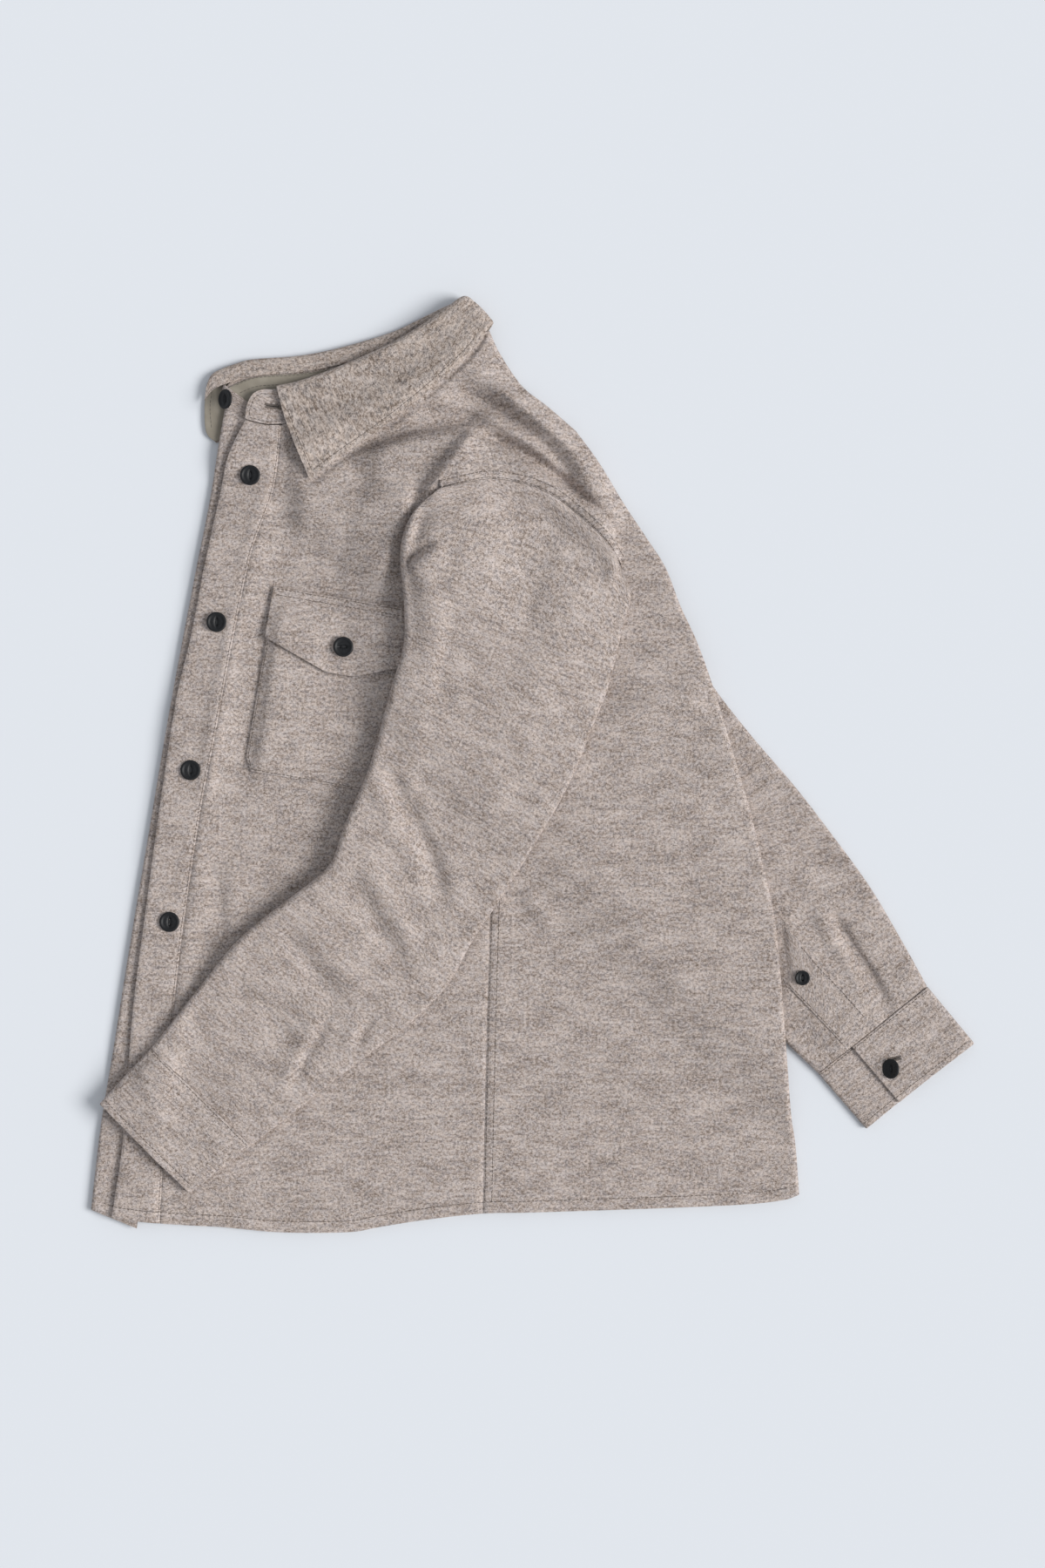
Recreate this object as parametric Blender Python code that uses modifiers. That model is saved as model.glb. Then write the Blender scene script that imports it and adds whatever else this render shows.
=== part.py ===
"""A wool shacket laid flat on its right side. Tables hold millimetres: X to the right, Y up the garment."""

import math

import bmesh
import bpy
import numpy as np

MM = 0.001
PLACE_Y = 1.64
WALL = 2.2
LINING_WALL = 1.1
COLLAR_WALL = 1.7
PATCH_WALL = 1.8
SEAM = 0.3
CLEAR = 0.4
LAYER_GAP = 1.6
SLEEVE_STACK = 6.4
SLEEVE_RAMP = 50.0
COLLAR_STACK = 3.4
COLLAR_RAMP = 26.0
BUTTON_STAND = 40.0
PLACKET_RAISE = 0.3
POCKET_TILT = math.radians(-9.8)
POCKET_TOP = (-145.0, 131.0)
POCKET_HALF = 63.0
POCKET_DEPTH = 150.0
FLAP_HALF = 64.5
FLAP_SIDE = 41.5
FLAP_POINT = 61.0
FLAP_BLUNT = 11.0
POCKET_CLEAR = 1.6
FLAP_CLEAR = 0.9
SLEEVE_CLEAR = 2.2
LIFTED_GAP = 1.2
TOP_FADE = 0.17
FOOT_FADE = 0.62
EDGE_HALF = 4.0
CUFF_EDGE = 0.8
BUTTON_RADIUS = 8.1
SMALL_BUTTON_RADIUS = 6.0

# Seams and outline in plan, from the hem up: x, y
FRONT_FOLD = [(-356, -360), (-348, -292), (-338, -231), (-324, -143), (-309, -54), (-292, 46),
              (-272, 152), (-261, 207), (-252, 261), (-248, 284)]
PLACKET_EDGE = [(-339, -366), (-330, -303), (-322, -200), (-310, -106), (-301, -40), (-287, 51),
                (-275, 103), (-264, 160), (-252, 215), (-245, 246), (-231, 276)]
PLACKET_SEAM = [(-300, -371), (-294, -269), (-285, -164), (-268, -45), (-256, 17), (-240, 103),
                (-226, 169), (-209, 217), (-201, 272)]
HEM = [(-356, -360), (-339, -366), (-300, -371), (-250, -374), (-204, -378), (-149, -378), (-124, -374),
       (-86, -368), (-40, -363), (5, -362), (98, -359), (145, -357), (180, -355), (203, -352), (215, -348)]
SIDE_SEAM = [(-40, -363), (-37, -227), (-34, -122), (-31, -30), (-29, 53)]
BACK_FOLD = [(215, -348), (212, -308), (208, -281), (204, -228), (200, -175), (194, -121), (176, -42),
             (164, -1), (154, 34), (144, 65), (132, 98), (119, 126), (107, 157), (91, 182), (74, 208),
             (54, 241), (35, 267)]
BACK_PACE = [(0, (215, -348)), (0.64, (158, 20)), (0.70, (150, 48)), (0.78, (136, 88)), (0.86, (112, 145)),
             (1, (35, 267))]
YOKE_FOLD = [(35, 267), (12, 287), (-8, 303), (-26, 329), (-35, 348)]
ARMHOLE_FRONT = [(-29, 53), (-55, 98), (-70, 158), (-75, 219)]
ARMHOLE_BACK = [(-29, 53), (24, 66), (54, 108), (66, 148), (70, 159)]
ARMHOLE_TOP = [(-75, 219), (-53, 224), (-32, 227), (-6, 223), (14, 215), (31, 203), (47, 189), (61, 174),
               (70, 159)]
YOKE_FRONT_SEAM = [(-32, 227), (-78, 267), (-85, 285), (-93, 307)]
YOKE_BACK_SEAM = [(47, 189), (40, 234), (35, 267)]
NECKLINE = [(-201, 272), (-162, 276), (-120, 292), (-93, 307), (-62, 330), (-35, 348)]
FAR_NECKLINE = [(-248, 284), (-233, 282), (-212, 283), (-152, 299), (-116, 312), (-93, 321), (-62, 336),
                (-35, 348)]

# Collar in plan, from the front end to the centre back: x, y
NEAR_ROLL = [(-206, 303), (-187, 307), (-152, 320), (-116, 336), (-92, 350), (-69, 366), (-54, 377)]
NEAR_LEAF_EDGE = [(-179, 227), (-155, 245), (-123, 267), (-88, 294), (-52, 327), (-31, 354)]
FAR_ROLL = [(-260, 309), (-255, 315), (-244, 320), (-226, 325), (-188, 328), (-157, 334), (-116, 346),
            (-92, 357), (-69, 369), (-54, 377)]
FAR_LEAF_EDGE = [(-257, 259), (-215, 268), (-150, 283), (-90, 310), (-50, 335), (-31, 354)]
NEAR_STAND_END = [(-231, 276), (-230, 286), (-225, 296), (-216, 301)]
NEAR_STAND_FOOT = [(-231, 276), (-215, 272), (-201, 272)]

# Left sleeve, over the body, from the armhole down: near edge x, y, far edge x, y, crown
LEFT_SLEEVE = [
    (-76, 221, 70, 161, 10.0),
    (-96, 202, 79, 136, 14.0),
    (-106, 171, 73, 112, 18.0),
    (-103, 131, 67, 85, 20.0),
    (-103, 95, 60, 58, 20.0),
    (-113, 60, 48, 28, 19.0),
    (-124, 20, 35, -5, 18.0),
    (-133, -9, 21, -33, 17.0),
    (-151, -51, -2, -72, 16.0),
    (-163, -82, -24, -107, 15.0),
    (-190, -105, -48, -143, 14.0),
    (-215, -124, -69, -180, 13.0),
    (-239, -145, -100, -211, 12.0),
    (-261, -172, -136, -238, 11.0),
    (-283, -200, -180, -272, 10.0),
    (-306, -229, -226, -308, 9.0),
]
LEFT_CUFF = [(-306, -229, -226, -308, 9.0), (-326, -250, -250, -327, 8.6), (-348, -274, -276, -346, 8.0)]

# Right sleeve, under the body, from the armhole down: near edge x, y, far edge x, y, crown
RIGHT_SLEEVE = [
    (-76, 221, 70, 161, 6.0),
    (-98, 150, 108, 122, 6.0),
    (-84, 78, 144, 65, 6.0),
    (-30, 8, 176, 23, 6.0),
    (44, -62, 210, -17, 6.0),
    (108, -125, 240, -56, 6.0),
    (162, -181, 272, -100, 6.0),
    (205, -226, 298, -144, 6.3),
    (230, -250, 318, -180, 7.6),
]
RIGHT_CUFF_TOP = [(230, -250), (274, -215), (318, -180)]
RIGHT_CUFF_END = [(269, -295), (312, -260), (356, -226)]

# Collar heights where it lies folded at the centre back
LEAF_ROWS = 6
LEAF_CREST = 18.0
NEAR_BAND = 8.7
FAR_BAND = 7.1
INNER_BAND = 15.0
STAND_TOP = 13.6
STAND_FOOT = 3.4
STAND_TIP = 9.0
STAND_FOOT_GAP = 0.06
STAND_ROLL_GAP = 0.17
NEAR_FACING = 7.9
FAR_FACING = 6.9

# Folds of the upper layer: points x, y, then height, spread to the left and to the right of the line
FOLDS = [
    ([(-123, 245), (-81, 260), (-52, 265), (-26, 251), (14, 226), (47, 198), (69, 174)], 8.0, 20.0, 15.0),
    ([(-26, 282), (16, 252), (34, 231), (53, 208), (72, 171), (84, 140)], -7.0, 11.0, 9.0),
    ([(-38, 272), (6, 243), (28, 222), (52, 192)], 6.0, 12.0, 9.0),
    ([(-52, 261), (-67, 246), (-86, 222), (-110, 178)], -6.0, 12.0, 8.0),
    ([(-198, 254), (-215, 189), (-226, 160), (-240, 86), (-257, -8)], 2.6, 9.0, 16.0),
    ([(-150, 215), (-190, 165), (-214, 40)], 3.0, 24.0, 30.0),
    ([(-22, -107), (-12, -125), (6, -136)], -2.0, 9.0, 9.0),
]
# Buttons: x, y
BUTTONS = {
    "button_front_1": (-227, 231),
    "button_front_2": (-254, 113),
    "button_front_3": (-275, -6),
    "button_front_4": (-292, -128),
    "button_front_5": (-303, -250),
    "button_pocket": (-152, 93),
}

SHOULDER_LOFT = (-15.0, 225.0, 62.0, 7.0)
NECK_LOFT = 2.2


class Line:
    """A smooth line through a few plan points, read by its share of length."""

    def __init__(self, points):
        points = np.array(points, float)
        ends = np.vstack([2 * points[0] - points[1], points, 2 * points[-1] - points[-2]])
        steps = np.linspace(0, 1, 12, endpoint=False)[:, None]
        parts = []
        for a, b, c, d in zip(ends, ends[1:], ends[2:], ends[3:]):
            bend = 2 * a - 5 * b + 4 * c - d + (3 * b - a - 3 * c + d) * steps
            parts.append(b + 0.5 * steps * ((c - a) + steps * bend))
        self.points = np.vstack(parts + [points[-1:]])
        lengths = np.linalg.norm(np.diff(self.points, axis=0), axis=1)
        self.travel = np.concatenate([[0], np.cumsum(lengths)])

    def __call__(self, share):
        at = np.asarray(share, float) * self.travel[-1]
        return np.stack([np.interp(at, self.travel, self.points[:, i]) for i in (0, 1)], axis=-1)

    def share_near(self, point):
        nearest = np.argmin(np.linalg.norm(self.points - np.array(point, float), axis=1))
        return self.travel[nearest] / self.travel[-1]

    def part(self, start, end):
        """The stretch between the places nearest to two points."""
        first, last = self.share_near(start), self.share_near(end)
        return lambda share: self(first + np.asarray(share, float) * (last - first))


def paced(line, stops):
    """A line walked unevenly, so that it is at each given point at its given share."""
    given = [share for share, _ in stops]
    found = [line.share_near(point) for _, point in stops]
    return lambda share: line(np.interp(share, given, found))


def joined(*lines):
    """One edge made of several lines end to end, with an equal pace along their lengths."""
    sampled = []
    for line in lines:
        points = line(np.linspace(0, 1, 40))
        sampled.append(points if not sampled else points[1:])
    points = np.vstack(sampled)
    travel = np.concatenate([[0], np.cumsum(np.linalg.norm(np.diff(points, axis=0), axis=1))])

    def edge(share):
        at = np.asarray(share, float) * travel[-1]
        return np.stack([np.interp(at, travel, points[:, i]) for i in (0, 1)], axis=-1)

    return edge


def turned_round(line):
    return lambda share: line(1 - np.asarray(share, float))


def filled(left, right, bottom, top, across, along):
    """Plan points of a panel between its four edges, rows along it and columns across it."""
    u = across[None, :, None]
    v = along[:, None, None]
    low, high = bottom(across)[None], top(across)[None]
    low_ends, high_ends = bottom(np.array([0.0, 1.0])), top(np.array([0.0, 1.0]))
    corners = (1 - v) * ((1 - u) * low_ends[0] + u * low_ends[1])
    corners = corners + v * ((1 - u) * high_ends[0] + u * high_ends[1])
    sides = (1 - u) * left(along)[:, None] + u * right(along)[:, None]
    return sides + (1 - v) * low + v * high - corners


def distance(plan, points):
    """Distance from each plan point to a line, its side of the line, and the share of length there."""
    points = np.asarray(points, float)
    best = np.full(plan.shape[:-1], 1e9)
    side = np.zeros_like(best)
    share = np.zeros_like(best)
    lengths = np.linalg.norm(np.diff(points, axis=0), axis=1)
    travel = np.concatenate([[0], np.cumsum(lengths)])
    for a, b, done, length in zip(points, points[1:], travel, lengths):
        step = (b - a) / length
        along = np.clip((plan - a) @ step, 0, length)
        gap = plan - (a + along[..., None] * step)
        near = np.linalg.norm(gap, axis=-1)
        closer = near < best
        best = np.where(closer, near, best)
        side = np.where(closer, step[0] * gap[..., 1] - step[1] * gap[..., 0], side)
        share = np.where(closer, (done + along) / travel[-1], share)
    return best, side, share


def inside(plan, outline):
    """Whether each plan point lies inside a closed outline."""
    outline = np.asarray(outline, float)
    x, y = plan[..., 0], plan[..., 1]
    found = np.zeros(x.shape, bool)
    for (ax, ay), (bx, by) in zip(outline, np.roll(outline, -1, axis=0)):
        if ay == by:
            continue
        crosses = (ay > y) != (by > y)
        found ^= crosses & (x < ax + (y - ay) * (bx - ax) / (by - ay))
    return found


def smooth(share):
    share = np.clip(share, 0, 1)
    return share * share * (3 - 2 * share)


def pad(plan, outline, height, ramp, margin=0.0):
    """Height over a flat thing that lies under the cloth, easing off over a ramp round it."""
    closed = np.vstack([outline, outline[:1]])
    away = np.where(inside(plan, outline), 0, distance(plan, closed)[0])
    return height * smooth(1 - (away - margin) / ramp)


def fold_height(plan, row):
    points, height, left, right = row
    away, side, share = distance(plan, Line(points).points[::4])
    spread = np.where(side > 0, left, right)
    return height * np.exp(-((away / spread) ** 2)) * smooth(share / 0.25) * smooth((1 - share) / 0.25)


def armhole_foot():
    return joined(turned_round(Line(ARMHOLE_FRONT)), Line(ARMHOLE_BACK))


def sleeve_shadow():
    """Outline of the right sleeve where the body lies on it."""
    rows = np.array(RIGHT_SLEEVE, float)
    foot = armhole_foot()(np.linspace(0, 1, 24))
    return np.vstack([foot, rows[1:, 2:4], rows[:0:-1, 0:2]])


def far_leaf_shadow():
    roll, edge = Line(FAR_ROLL), Line(FAR_LEAF_EDGE)
    shares = np.linspace(0, 1, 24)
    return np.vstack([roll(shares), edge(shares[::-1])])


def body_under(plan):
    """Underside of the lower layer."""
    over_sleeve = pad(plan, sleeve_shadow(), SLEEVE_STACK, SLEEVE_RAMP, 16)
    over_leaf = pad(plan, far_leaf_shadow(), COLLAR_STACK, COLLAR_RAMP, 8)
    return np.maximum(over_sleeve, over_leaf)


def placket_rise(plan):
    edge = Line(FRONT_FOLD).points[::4]
    away = distance(plan, edge)[0]
    return (WALL + CLEAR) * smooth((BUTTON_STAND + 26 - away) / 20)


def body_flat(plan):
    """Outer side of the upper layer, had it no folds."""
    under = body_under(plan)
    return under + 2 * WALL + LAYER_GAP + LIFTED_GAP * smooth(under / 1.5) + placket_rise(plan)


def body_top(plan):
    """Outer side of the upper layer."""
    x, y, spread, loft = SHOULDER_LOFT
    rise = loft * np.exp(-((plan[..., 0] - x) ** 2 + (plan[..., 1] - y) ** 2) / spread**2)
    neck = NECK_LOFT * smooth(1 - distance(plan, Line(NECKLINE).points[::4])[0] / 40)
    folds = sum(fold_height(plan, row) for row in FOLDS)
    return body_flat(plan) + np.maximum(rise + neck + folds, -LAYER_GAP + CLEAR + 0.6)


def pocket_point(across, down):
    """Plan point in the pocket's own directions: along its top edge and down from it."""
    turn_x, turn_y = math.cos(POCKET_TILT), math.sin(POCKET_TILT)
    x = POCKET_TOP[0] + across * turn_x + down * turn_y
    y = POCKET_TOP[1] + across * turn_y - down * turn_x
    return np.stack([x, y], axis=-1)


def pocket_outline(half, depth):
    across = np.array([-half, half, half, -half], float)
    down = np.array([0, 0, depth, depth], float)
    return pocket_point(across, down)


def pocket_rise(plan):
    """Height of the pocket and its flap over the front."""
    pocket = pad(plan, pocket_outline(POCKET_HALF, POCKET_DEPTH), PATCH_WALL + POCKET_CLEAR, 12, 8)
    flap = pad(plan, pocket_outline(FLAP_HALF, FLAP_POINT), PATCH_WALL + CLEAR, 12, 8)
    return pocket + flap


def sleeve_rise(plan):
    """How far the pocket and the lowest front button lift the left sleeve off the body."""
    x, y = BUTTONS["button_front_5"]
    knob = 4.4 * np.exp(-(((plan[..., 0] - x) ** 2 + (plan[..., 1] - y) ** 2) / 17**2) ** 2)
    return pocket_rise(plan) + knob + SLEEVE_CLEAR


def grid_object(name, points, material, wall, flip=False, ring=False):
    """A sheet through rows of points, in millimetres, thickened inwards into a wall."""
    rows, columns = points.shape[:2]
    mesh = bpy.data.meshes.new(name)
    sheet = bmesh.new()
    bmesh.ops.create_grid(sheet, x_segments=columns - 1, y_segments=rows - 1, size=0.5)
    for vertex in sheet.verts:
        column = round((vertex.co.x + 0.5) * (columns - 1))
        row = round((vertex.co.y + 0.5) * (rows - 1))
        vertex.co = points[row, column] * MM
    if ring:
        bmesh.ops.remove_doubles(sheet, verts=sheet.verts, dist=0.00002)
    if flip:
        bmesh.ops.reverse_faces(sheet, faces=sheet.faces)
    sheet.to_mesh(mesh)
    sheet.free()
    mesh.shade_smooth()
    mesh.materials.append(material)
    made = bpy.data.objects.new(name, mesh)
    made.location.y = PLACE_Y * MM
    parts.objects.link(made)
    thick = made.modifiers.new("wall", "SOLIDIFY")
    thick.thickness = wall * MM
    thick.offset = -1
    return made


def with_height(plan, height):
    return np.concatenate([plan, np.asarray(height)[..., None]], axis=-1)


def turn(upper, lower, turns, centre_inset=None):
    """Points round a fold: both layers end on the fold line, and the fold is rounded inside it."""
    half = (upper[:, -1, 2] - lower[:, -1, 2]) / 2
    middle = (upper[:, -1, 2] + lower[:, -1, 2]) / 2
    outward = upper[:, -1, :2] - upper[:, -2, :2]
    outward = outward / np.linalg.norm(outward, axis=1, keepdims=True)
    inset = half if centre_inset is None else centre_inset
    centre = upper[:, -1, :2] - outward * np.asarray(inset).reshape(-1, 1)
    upper[:, -1, :2] = centre
    lower[:, -1, :2] = centre
    columns = []
    for angle in np.linspace(0, math.pi, turns + 2)[1:-1]:
        plan = centre + outward * (half * math.sin(angle))[:, None]
        columns.append(with_height(plan, middle + half * math.cos(angle)))
    return np.stack(columns, axis=1)


def shares(count, start_gap=0.0, end_gap=0.0):
    return np.linspace(start_gap, 1 - end_gap, count)


def placket_height(plan):
    return body_top(plan) + PLACKET_RAISE


def make_fronts():
    top_edge = joined(Line(NECKLINE).part((-201, 272), (-93, 307)), turned_round(Line(YOKE_FRONT_SEAM)))
    armhole = joined(Line(ARMHOLE_FRONT), Line(ARMHOLE_TOP).part((-75, 219), (-32, 227)))
    side = joined(Line(SIDE_SEAM), armhole)
    across = shares(13, 0.0012, 0.0014)
    along = shares(27, 0.0, 0.0014) ** 0.9
    hem = Line(HEM).part((-300, -371), (-40, -363))
    plan = filled(Line(PLACKET_SEAM), side, hem, top_edge, across, along)
    grid_object("left_front", with_height(plan, body_top(plan)), wool, WALL)

    strip_top = Line([(-231, 276), (-215, 272), (-201, 272)])
    strip_hem = Line(HEM).part((-339, -366), (-300, -371))
    plan = filled(Line(PLACKET_EDGE), Line(PLACKET_SEAM), strip_hem, strip_top, shares(4, 0, 0.02), along)
    height = placket_height(plan) - np.array([0.8, 0, 0, 0])
    grid_object("left_front_placket", with_height(plan, height), wool, WALL)

    far_top = joined(Line(FAR_NECKLINE).part((-248, 284), (-93, 321)),
                     Line([(-93, 321), (-88, 290), (-78, 267), (-32, 227)]))
    far_hem = Line(HEM).part((-356, -360), (-40, -363))
    along = shares(22, 0.0, 0.0006)
    under = filled(Line(FRONT_FOLD), side, far_hem, far_top, shares(12, 0, 0.0012), along)
    edge = Line(FRONT_FOLD)(along)
    inward = under[:, 1] - edge
    inward = inward / np.linalg.norm(inward, axis=1, keepdims=True)
    stand = edge[:, None] + inward[:, None] * np.linspace(BUTTON_STAND, 0, 4)[None, :, None]
    folded = with_height(stand, body_under(stand) + 2 * WALL + 0.8)
    flat = with_height(under, body_under(under))[:, ::-1]
    fold = turn(folded, flat, 3)
    grid_object("right_front", np.concatenate([folded, fold, flat[:, ::-1]], axis=1), wool, WALL, flip=True)


def make_back():
    armhole = joined(Line(ARMHOLE_BACK), turned_round(Line(ARMHOLE_TOP).part((47, 189), (70, 159))))
    side = joined(Line(SIDE_SEAM), armhole)
    hem = Line(HEM).part((-40, -363), (215, -348))
    along = shares(23, 0.0, 0.0008)
    fold_line = paced(Line(BACK_FOLD), BACK_PACE)
    plan = filled(side, fold_line, hem, Line(YOKE_BACK_SEAM), shares(11, 0.0014, 0), along)
    upper, lower = with_height(plan, body_top(plan)), with_height(plan, body_under(plan))
    lower[0, :, 1] -= 1.2 * np.sin(np.linspace(0, math.pi, 11))
    fold = turn(upper, lower, 3)
    grid_object("back", np.concatenate([upper, fold, lower[:, ::-1]], axis=1), wool, WALL)


def make_yoke():
    left = joined(turned_round(Line(ARMHOLE_TOP).part((-32, 227), (47, 189))), Line(YOKE_FRONT_SEAM))
    far_left = joined(turned_round(Line(ARMHOLE_TOP).part((-32, 227), (47, 189))),
                      Line([(-32, 227), (-78, 267), (-88, 290), (-93, 321)]))
    along = shares(11, 0.016, 0.0)
    across = shares(8, 0.016, 0)
    near_neck = Line(NECKLINE).part((-93, 307), (-35, 348))
    far_neck = Line(FAR_NECKLINE).part((-93, 321), (-35, 348))
    fold_line = Line(YOKE_FOLD)
    near = filled(left, fold_line, Line(YOKE_BACK_SEAM), near_neck, across, along)
    far = filled(far_left, fold_line, Line(YOKE_BACK_SEAM), far_neck, across, along)
    upper, lower = with_height(near, body_top(near)), with_height(far, body_under(far))
    fold = turn(upper, lower, 3)
    grid_object("yoke", np.concatenate([upper, fold, lower[:, ::-1]], axis=1), wool, WALL)


def sleeve_sections(table, rows):
    """The table's edges and crowns at evenly spaced places along the sleeve."""
    table = np.array(table, float)
    near, far = Line(table[:, 0:2]), Line(table[:, 2:4])
    along = shares(rows)
    crown = np.interp(along, np.linspace(0, 1, len(table)), table[:, 4])
    return near(along), far(along), crown, along


def sleeve_layers(near, far, along, across):
    """Plan points of a sleeve's two layers: one starts at the armhole's top, the other at its foot."""
    share = shares(across)
    flat = near[:, None] * (1 - share)[None, :, None] + far[:, None] * share[None, :, None]
    chord = flat[0]
    to_top = Line(ARMHOLE_TOP)(share) - chord
    to_foot = armhole_foot()(share) - chord
    top_fade = 1 - smooth(along / TOP_FADE)
    foot_fade = np.clip(1 - along / FOOT_FADE, 0, 1)
    outer = flat + top_fade[:, None, None] * to_top
    inner = flat + foot_fade[:, None, None] * to_foot
    return outer, inner


def bulge(across):
    return np.sin(math.pi * shares(across)) ** 0.6


def ring(upper, lower, turns=3):
    """A closed ring from an upper and a lower layer that meet at both sides."""
    far = turn(upper, lower, turns)
    back_upper, back_lower = upper[:, ::-1].copy(), lower[:, ::-1].copy()
    near = turn(back_upper, back_lower, turns)
    upper, lower = back_upper[:, ::-1], back_lower[:, ::-1]
    whole = [upper, far, lower[:, ::-1], near[:, ::-1], upper[:, :1]]
    return np.concatenate(whole, axis=1)


def make_left_sleeve():
    near, far, crown, along = sleeve_sections(LEFT_SLEEVE, 24)
    across = 11
    near[0] += (-1.5, 1.0)
    far[0] += (1.5, 0.5)
    outer, inner = sleeve_layers(near, far, along, across)
    settle = smooth(along / 0.10)[:, None]
    outer[..., 1] -= 0.9 * (1 - settle)
    half = np.minimum(EDGE_HALF, crown / 2)[:, None]
    low = body_top(inner) + sleeve_rise(inner)
    high = body_flat(outer) + sleeve_rise(outer) + 2 * half + (crown[:, None] - 2 * half) * bulge(across)
    high = np.maximum(high, body_top(outer) + sleeve_rise(outer) + 2 * half)
    end_rise = 1 - smooth(np.minimum(shares(across), 1 - shares(across)) / 0.2)
    flush = body_top(outer) + 5.6 * end_rise
    high = flush * (1 - settle) + high * settle
    upper, lower = with_height(outer, high), with_height(inner, low)
    grid_object("left_sleeve", ring(upper, lower), wool, WALL, flip=True, ring=True)


def make_left_cuff():
    near, far, crown, _ = sleeve_sections(LEFT_CUFF, 5)
    step = near[1] - near[0]
    step = step / np.linalg.norm(step) * 2 * SEAM
    near[0] += step
    far[0] += step
    share = shares(9)[None, :, None]
    plan = near[:, None] * (1 - share) + far[:, None] * share
    half = crown[:, None] / 2 * CUFF_EDGE
    low = body_top(plan) + sleeve_rise(plan)
    high = low + 2 * half + (crown[:, None] - 2 * half) * bulge(9)
    cuff = ring(with_height(plan, high), with_height(plan, low))
    grid_object("left_cuff", cuff, wool, WALL, flip=True, ring=True)


def make_right_sleeve():
    near, far, crown, along = sleeve_sections(RIGHT_SLEEVE, 16)
    across = 8
    outer, inner = sleeve_layers(near, far, along, across)
    outer[..., 1] -= 1.6 * (1 - smooth(along / 0.10))[:, None]
    clear = SLEEVE_STACK - CLEAR
    high = clear + np.maximum(crown - clear, 0)[:, None] * bulge(across)
    low = 1.6 * (1 - smooth(along / 0.12))[:, None] + np.zeros(outer.shape[:2])
    upper, lower = with_height(inner, high), with_height(outer, low)
    grid_object("right_sleeve", ring(upper, lower), wool, WALL, flip=True, ring=True)


def make_right_cuff():
    """One band round the wrist whose buttonhole end lies over its button end."""
    top, end = Line(RIGHT_CUFF_TOP), Line(RIGHT_CUFF_END)
    down = shares(4, 0.006, 0)[:, None, None]
    share = shares(8)
    flat = top(share)[None] * (1 - down) + end(share)[None] * down
    lower = with_height(flat, np.zeros(flat.shape[:2]))
    overlap = share[share >= 0.30]
    over = top(overlap)[None] * (1 - down) + end(overlap)[None] * down
    upper = with_height(over, np.full(over.shape[:2], 3 * WALL + 1.6))
    far = turn(upper, lower, 3)
    button_end = shares(4) * 0.44
    under = top(button_end[::-1])[None] * (1 - down) + end(button_end[::-1])[None] * down
    under = with_height(under, np.full(under.shape[:2], 2 * WALL + 0.8))
    low_end = lower[:, ::-1].copy()
    near = turn(under, low_end, 3)
    lower = low_end[:, ::-1]
    whole = [upper, far, lower[:, ::-1], near[:, ::-1], under[:, ::-1]]
    grid_object("right_cuff", np.concatenate(whole, axis=1), wool, WALL, flip=True)


def make_sleeve_placket():
    left = Line([(200, -175), (219, -194), (234, -210), (251, -228)])
    right = Line([(215, -144), (231, -163), (251, -184), (272, -208)])
    head = Line([(200, -175), (206, -158), (215, -144)])
    foot = Line([(251, -228), (262, -218), (272, -208)])
    plan = filled(left, right, head, foot, shares(4), shares(7, 0.03, 0.02))
    height = np.full(plan.shape[:2], SLEEVE_STACK + 1.6 + WALL)
    grid_object("right_sleeve_placket", with_height(plan, height), wool, PATCH_WALL, flip=True)


def make_pocket():
    across = np.linspace(-POCKET_HALF, POCKET_HALF, 9)[None, :]
    down = np.linspace(2, POCKET_DEPTH, 11)[:, None]
    cut = 5 * smooth((down - POCKET_DEPTH + 12) / 12)
    plan = pocket_point(across * (1 - cut / POCKET_HALF), down + np.zeros_like(across))
    height = body_top(plan) + POCKET_CLEAR + PATCH_WALL
    grid_object("left_chest_pocket", with_height(plan, height), wool, PATCH_WALL, flip=True)

    share = np.linspace(-1, 1, 13)
    reach = np.where(np.abs(share) * FLAP_HALF < FLAP_BLUNT, FLAP_POINT,
                     FLAP_POINT + (FLAP_SIDE - FLAP_POINT)
                     * (np.abs(share) * FLAP_HALF - FLAP_BLUNT) / (FLAP_HALF - FLAP_BLUNT))
    down = np.linspace(0, 1, 7)[:, None] * reach[None]
    plan = pocket_point(np.broadcast_to(share * FLAP_HALF, down.shape), down)
    height = flap_height(plan)
    grid_object("left_pocket_flap", with_height(plan, height), wool, PATCH_WALL, flip=True)


def flap_height(plan):
    """Outer side of the pocket flap."""
    over_pocket = PATCH_WALL + POCKET_CLEAR
    return body_top(plan) + over_pocket + FLAP_CLEAR + PATCH_WALL


def leaf_half(roll, edge, front, back, columns):
    """Plan points of half the leaf, from the front end to the centre back and from its edge to the roll."""
    plan = filled(Line(roll), Line(edge), Line(front), Line(back), shares(LEAF_ROWS), shares(columns))
    return plan[:, ::-1]


def across_fold(near, far, turns, inset):
    """A strip that runs along the near half, round the centre back, and out along the far half."""
    near, far = near.transpose(1, 0, 2).copy(), far.transpose(1, 0, 2).copy()
    fold = turn(near, far, turns, np.full(len(near), inset))
    return np.concatenate([near, fold, far[:, ::-1]], axis=1)


def inner_band(leaf):
    """Plan points of the leaf cloth turned in over the stand, from its seam to the roll."""
    inward = leaf[:, -3] - leaf[:, -1]
    inward = inward / np.linalg.norm(inward, axis=1, keepdims=True)
    return leaf[:, -1:] + inward[:, None] * np.array([1.0, 0.55, 0.0])[None, :, None] * INNER_BAND


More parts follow.
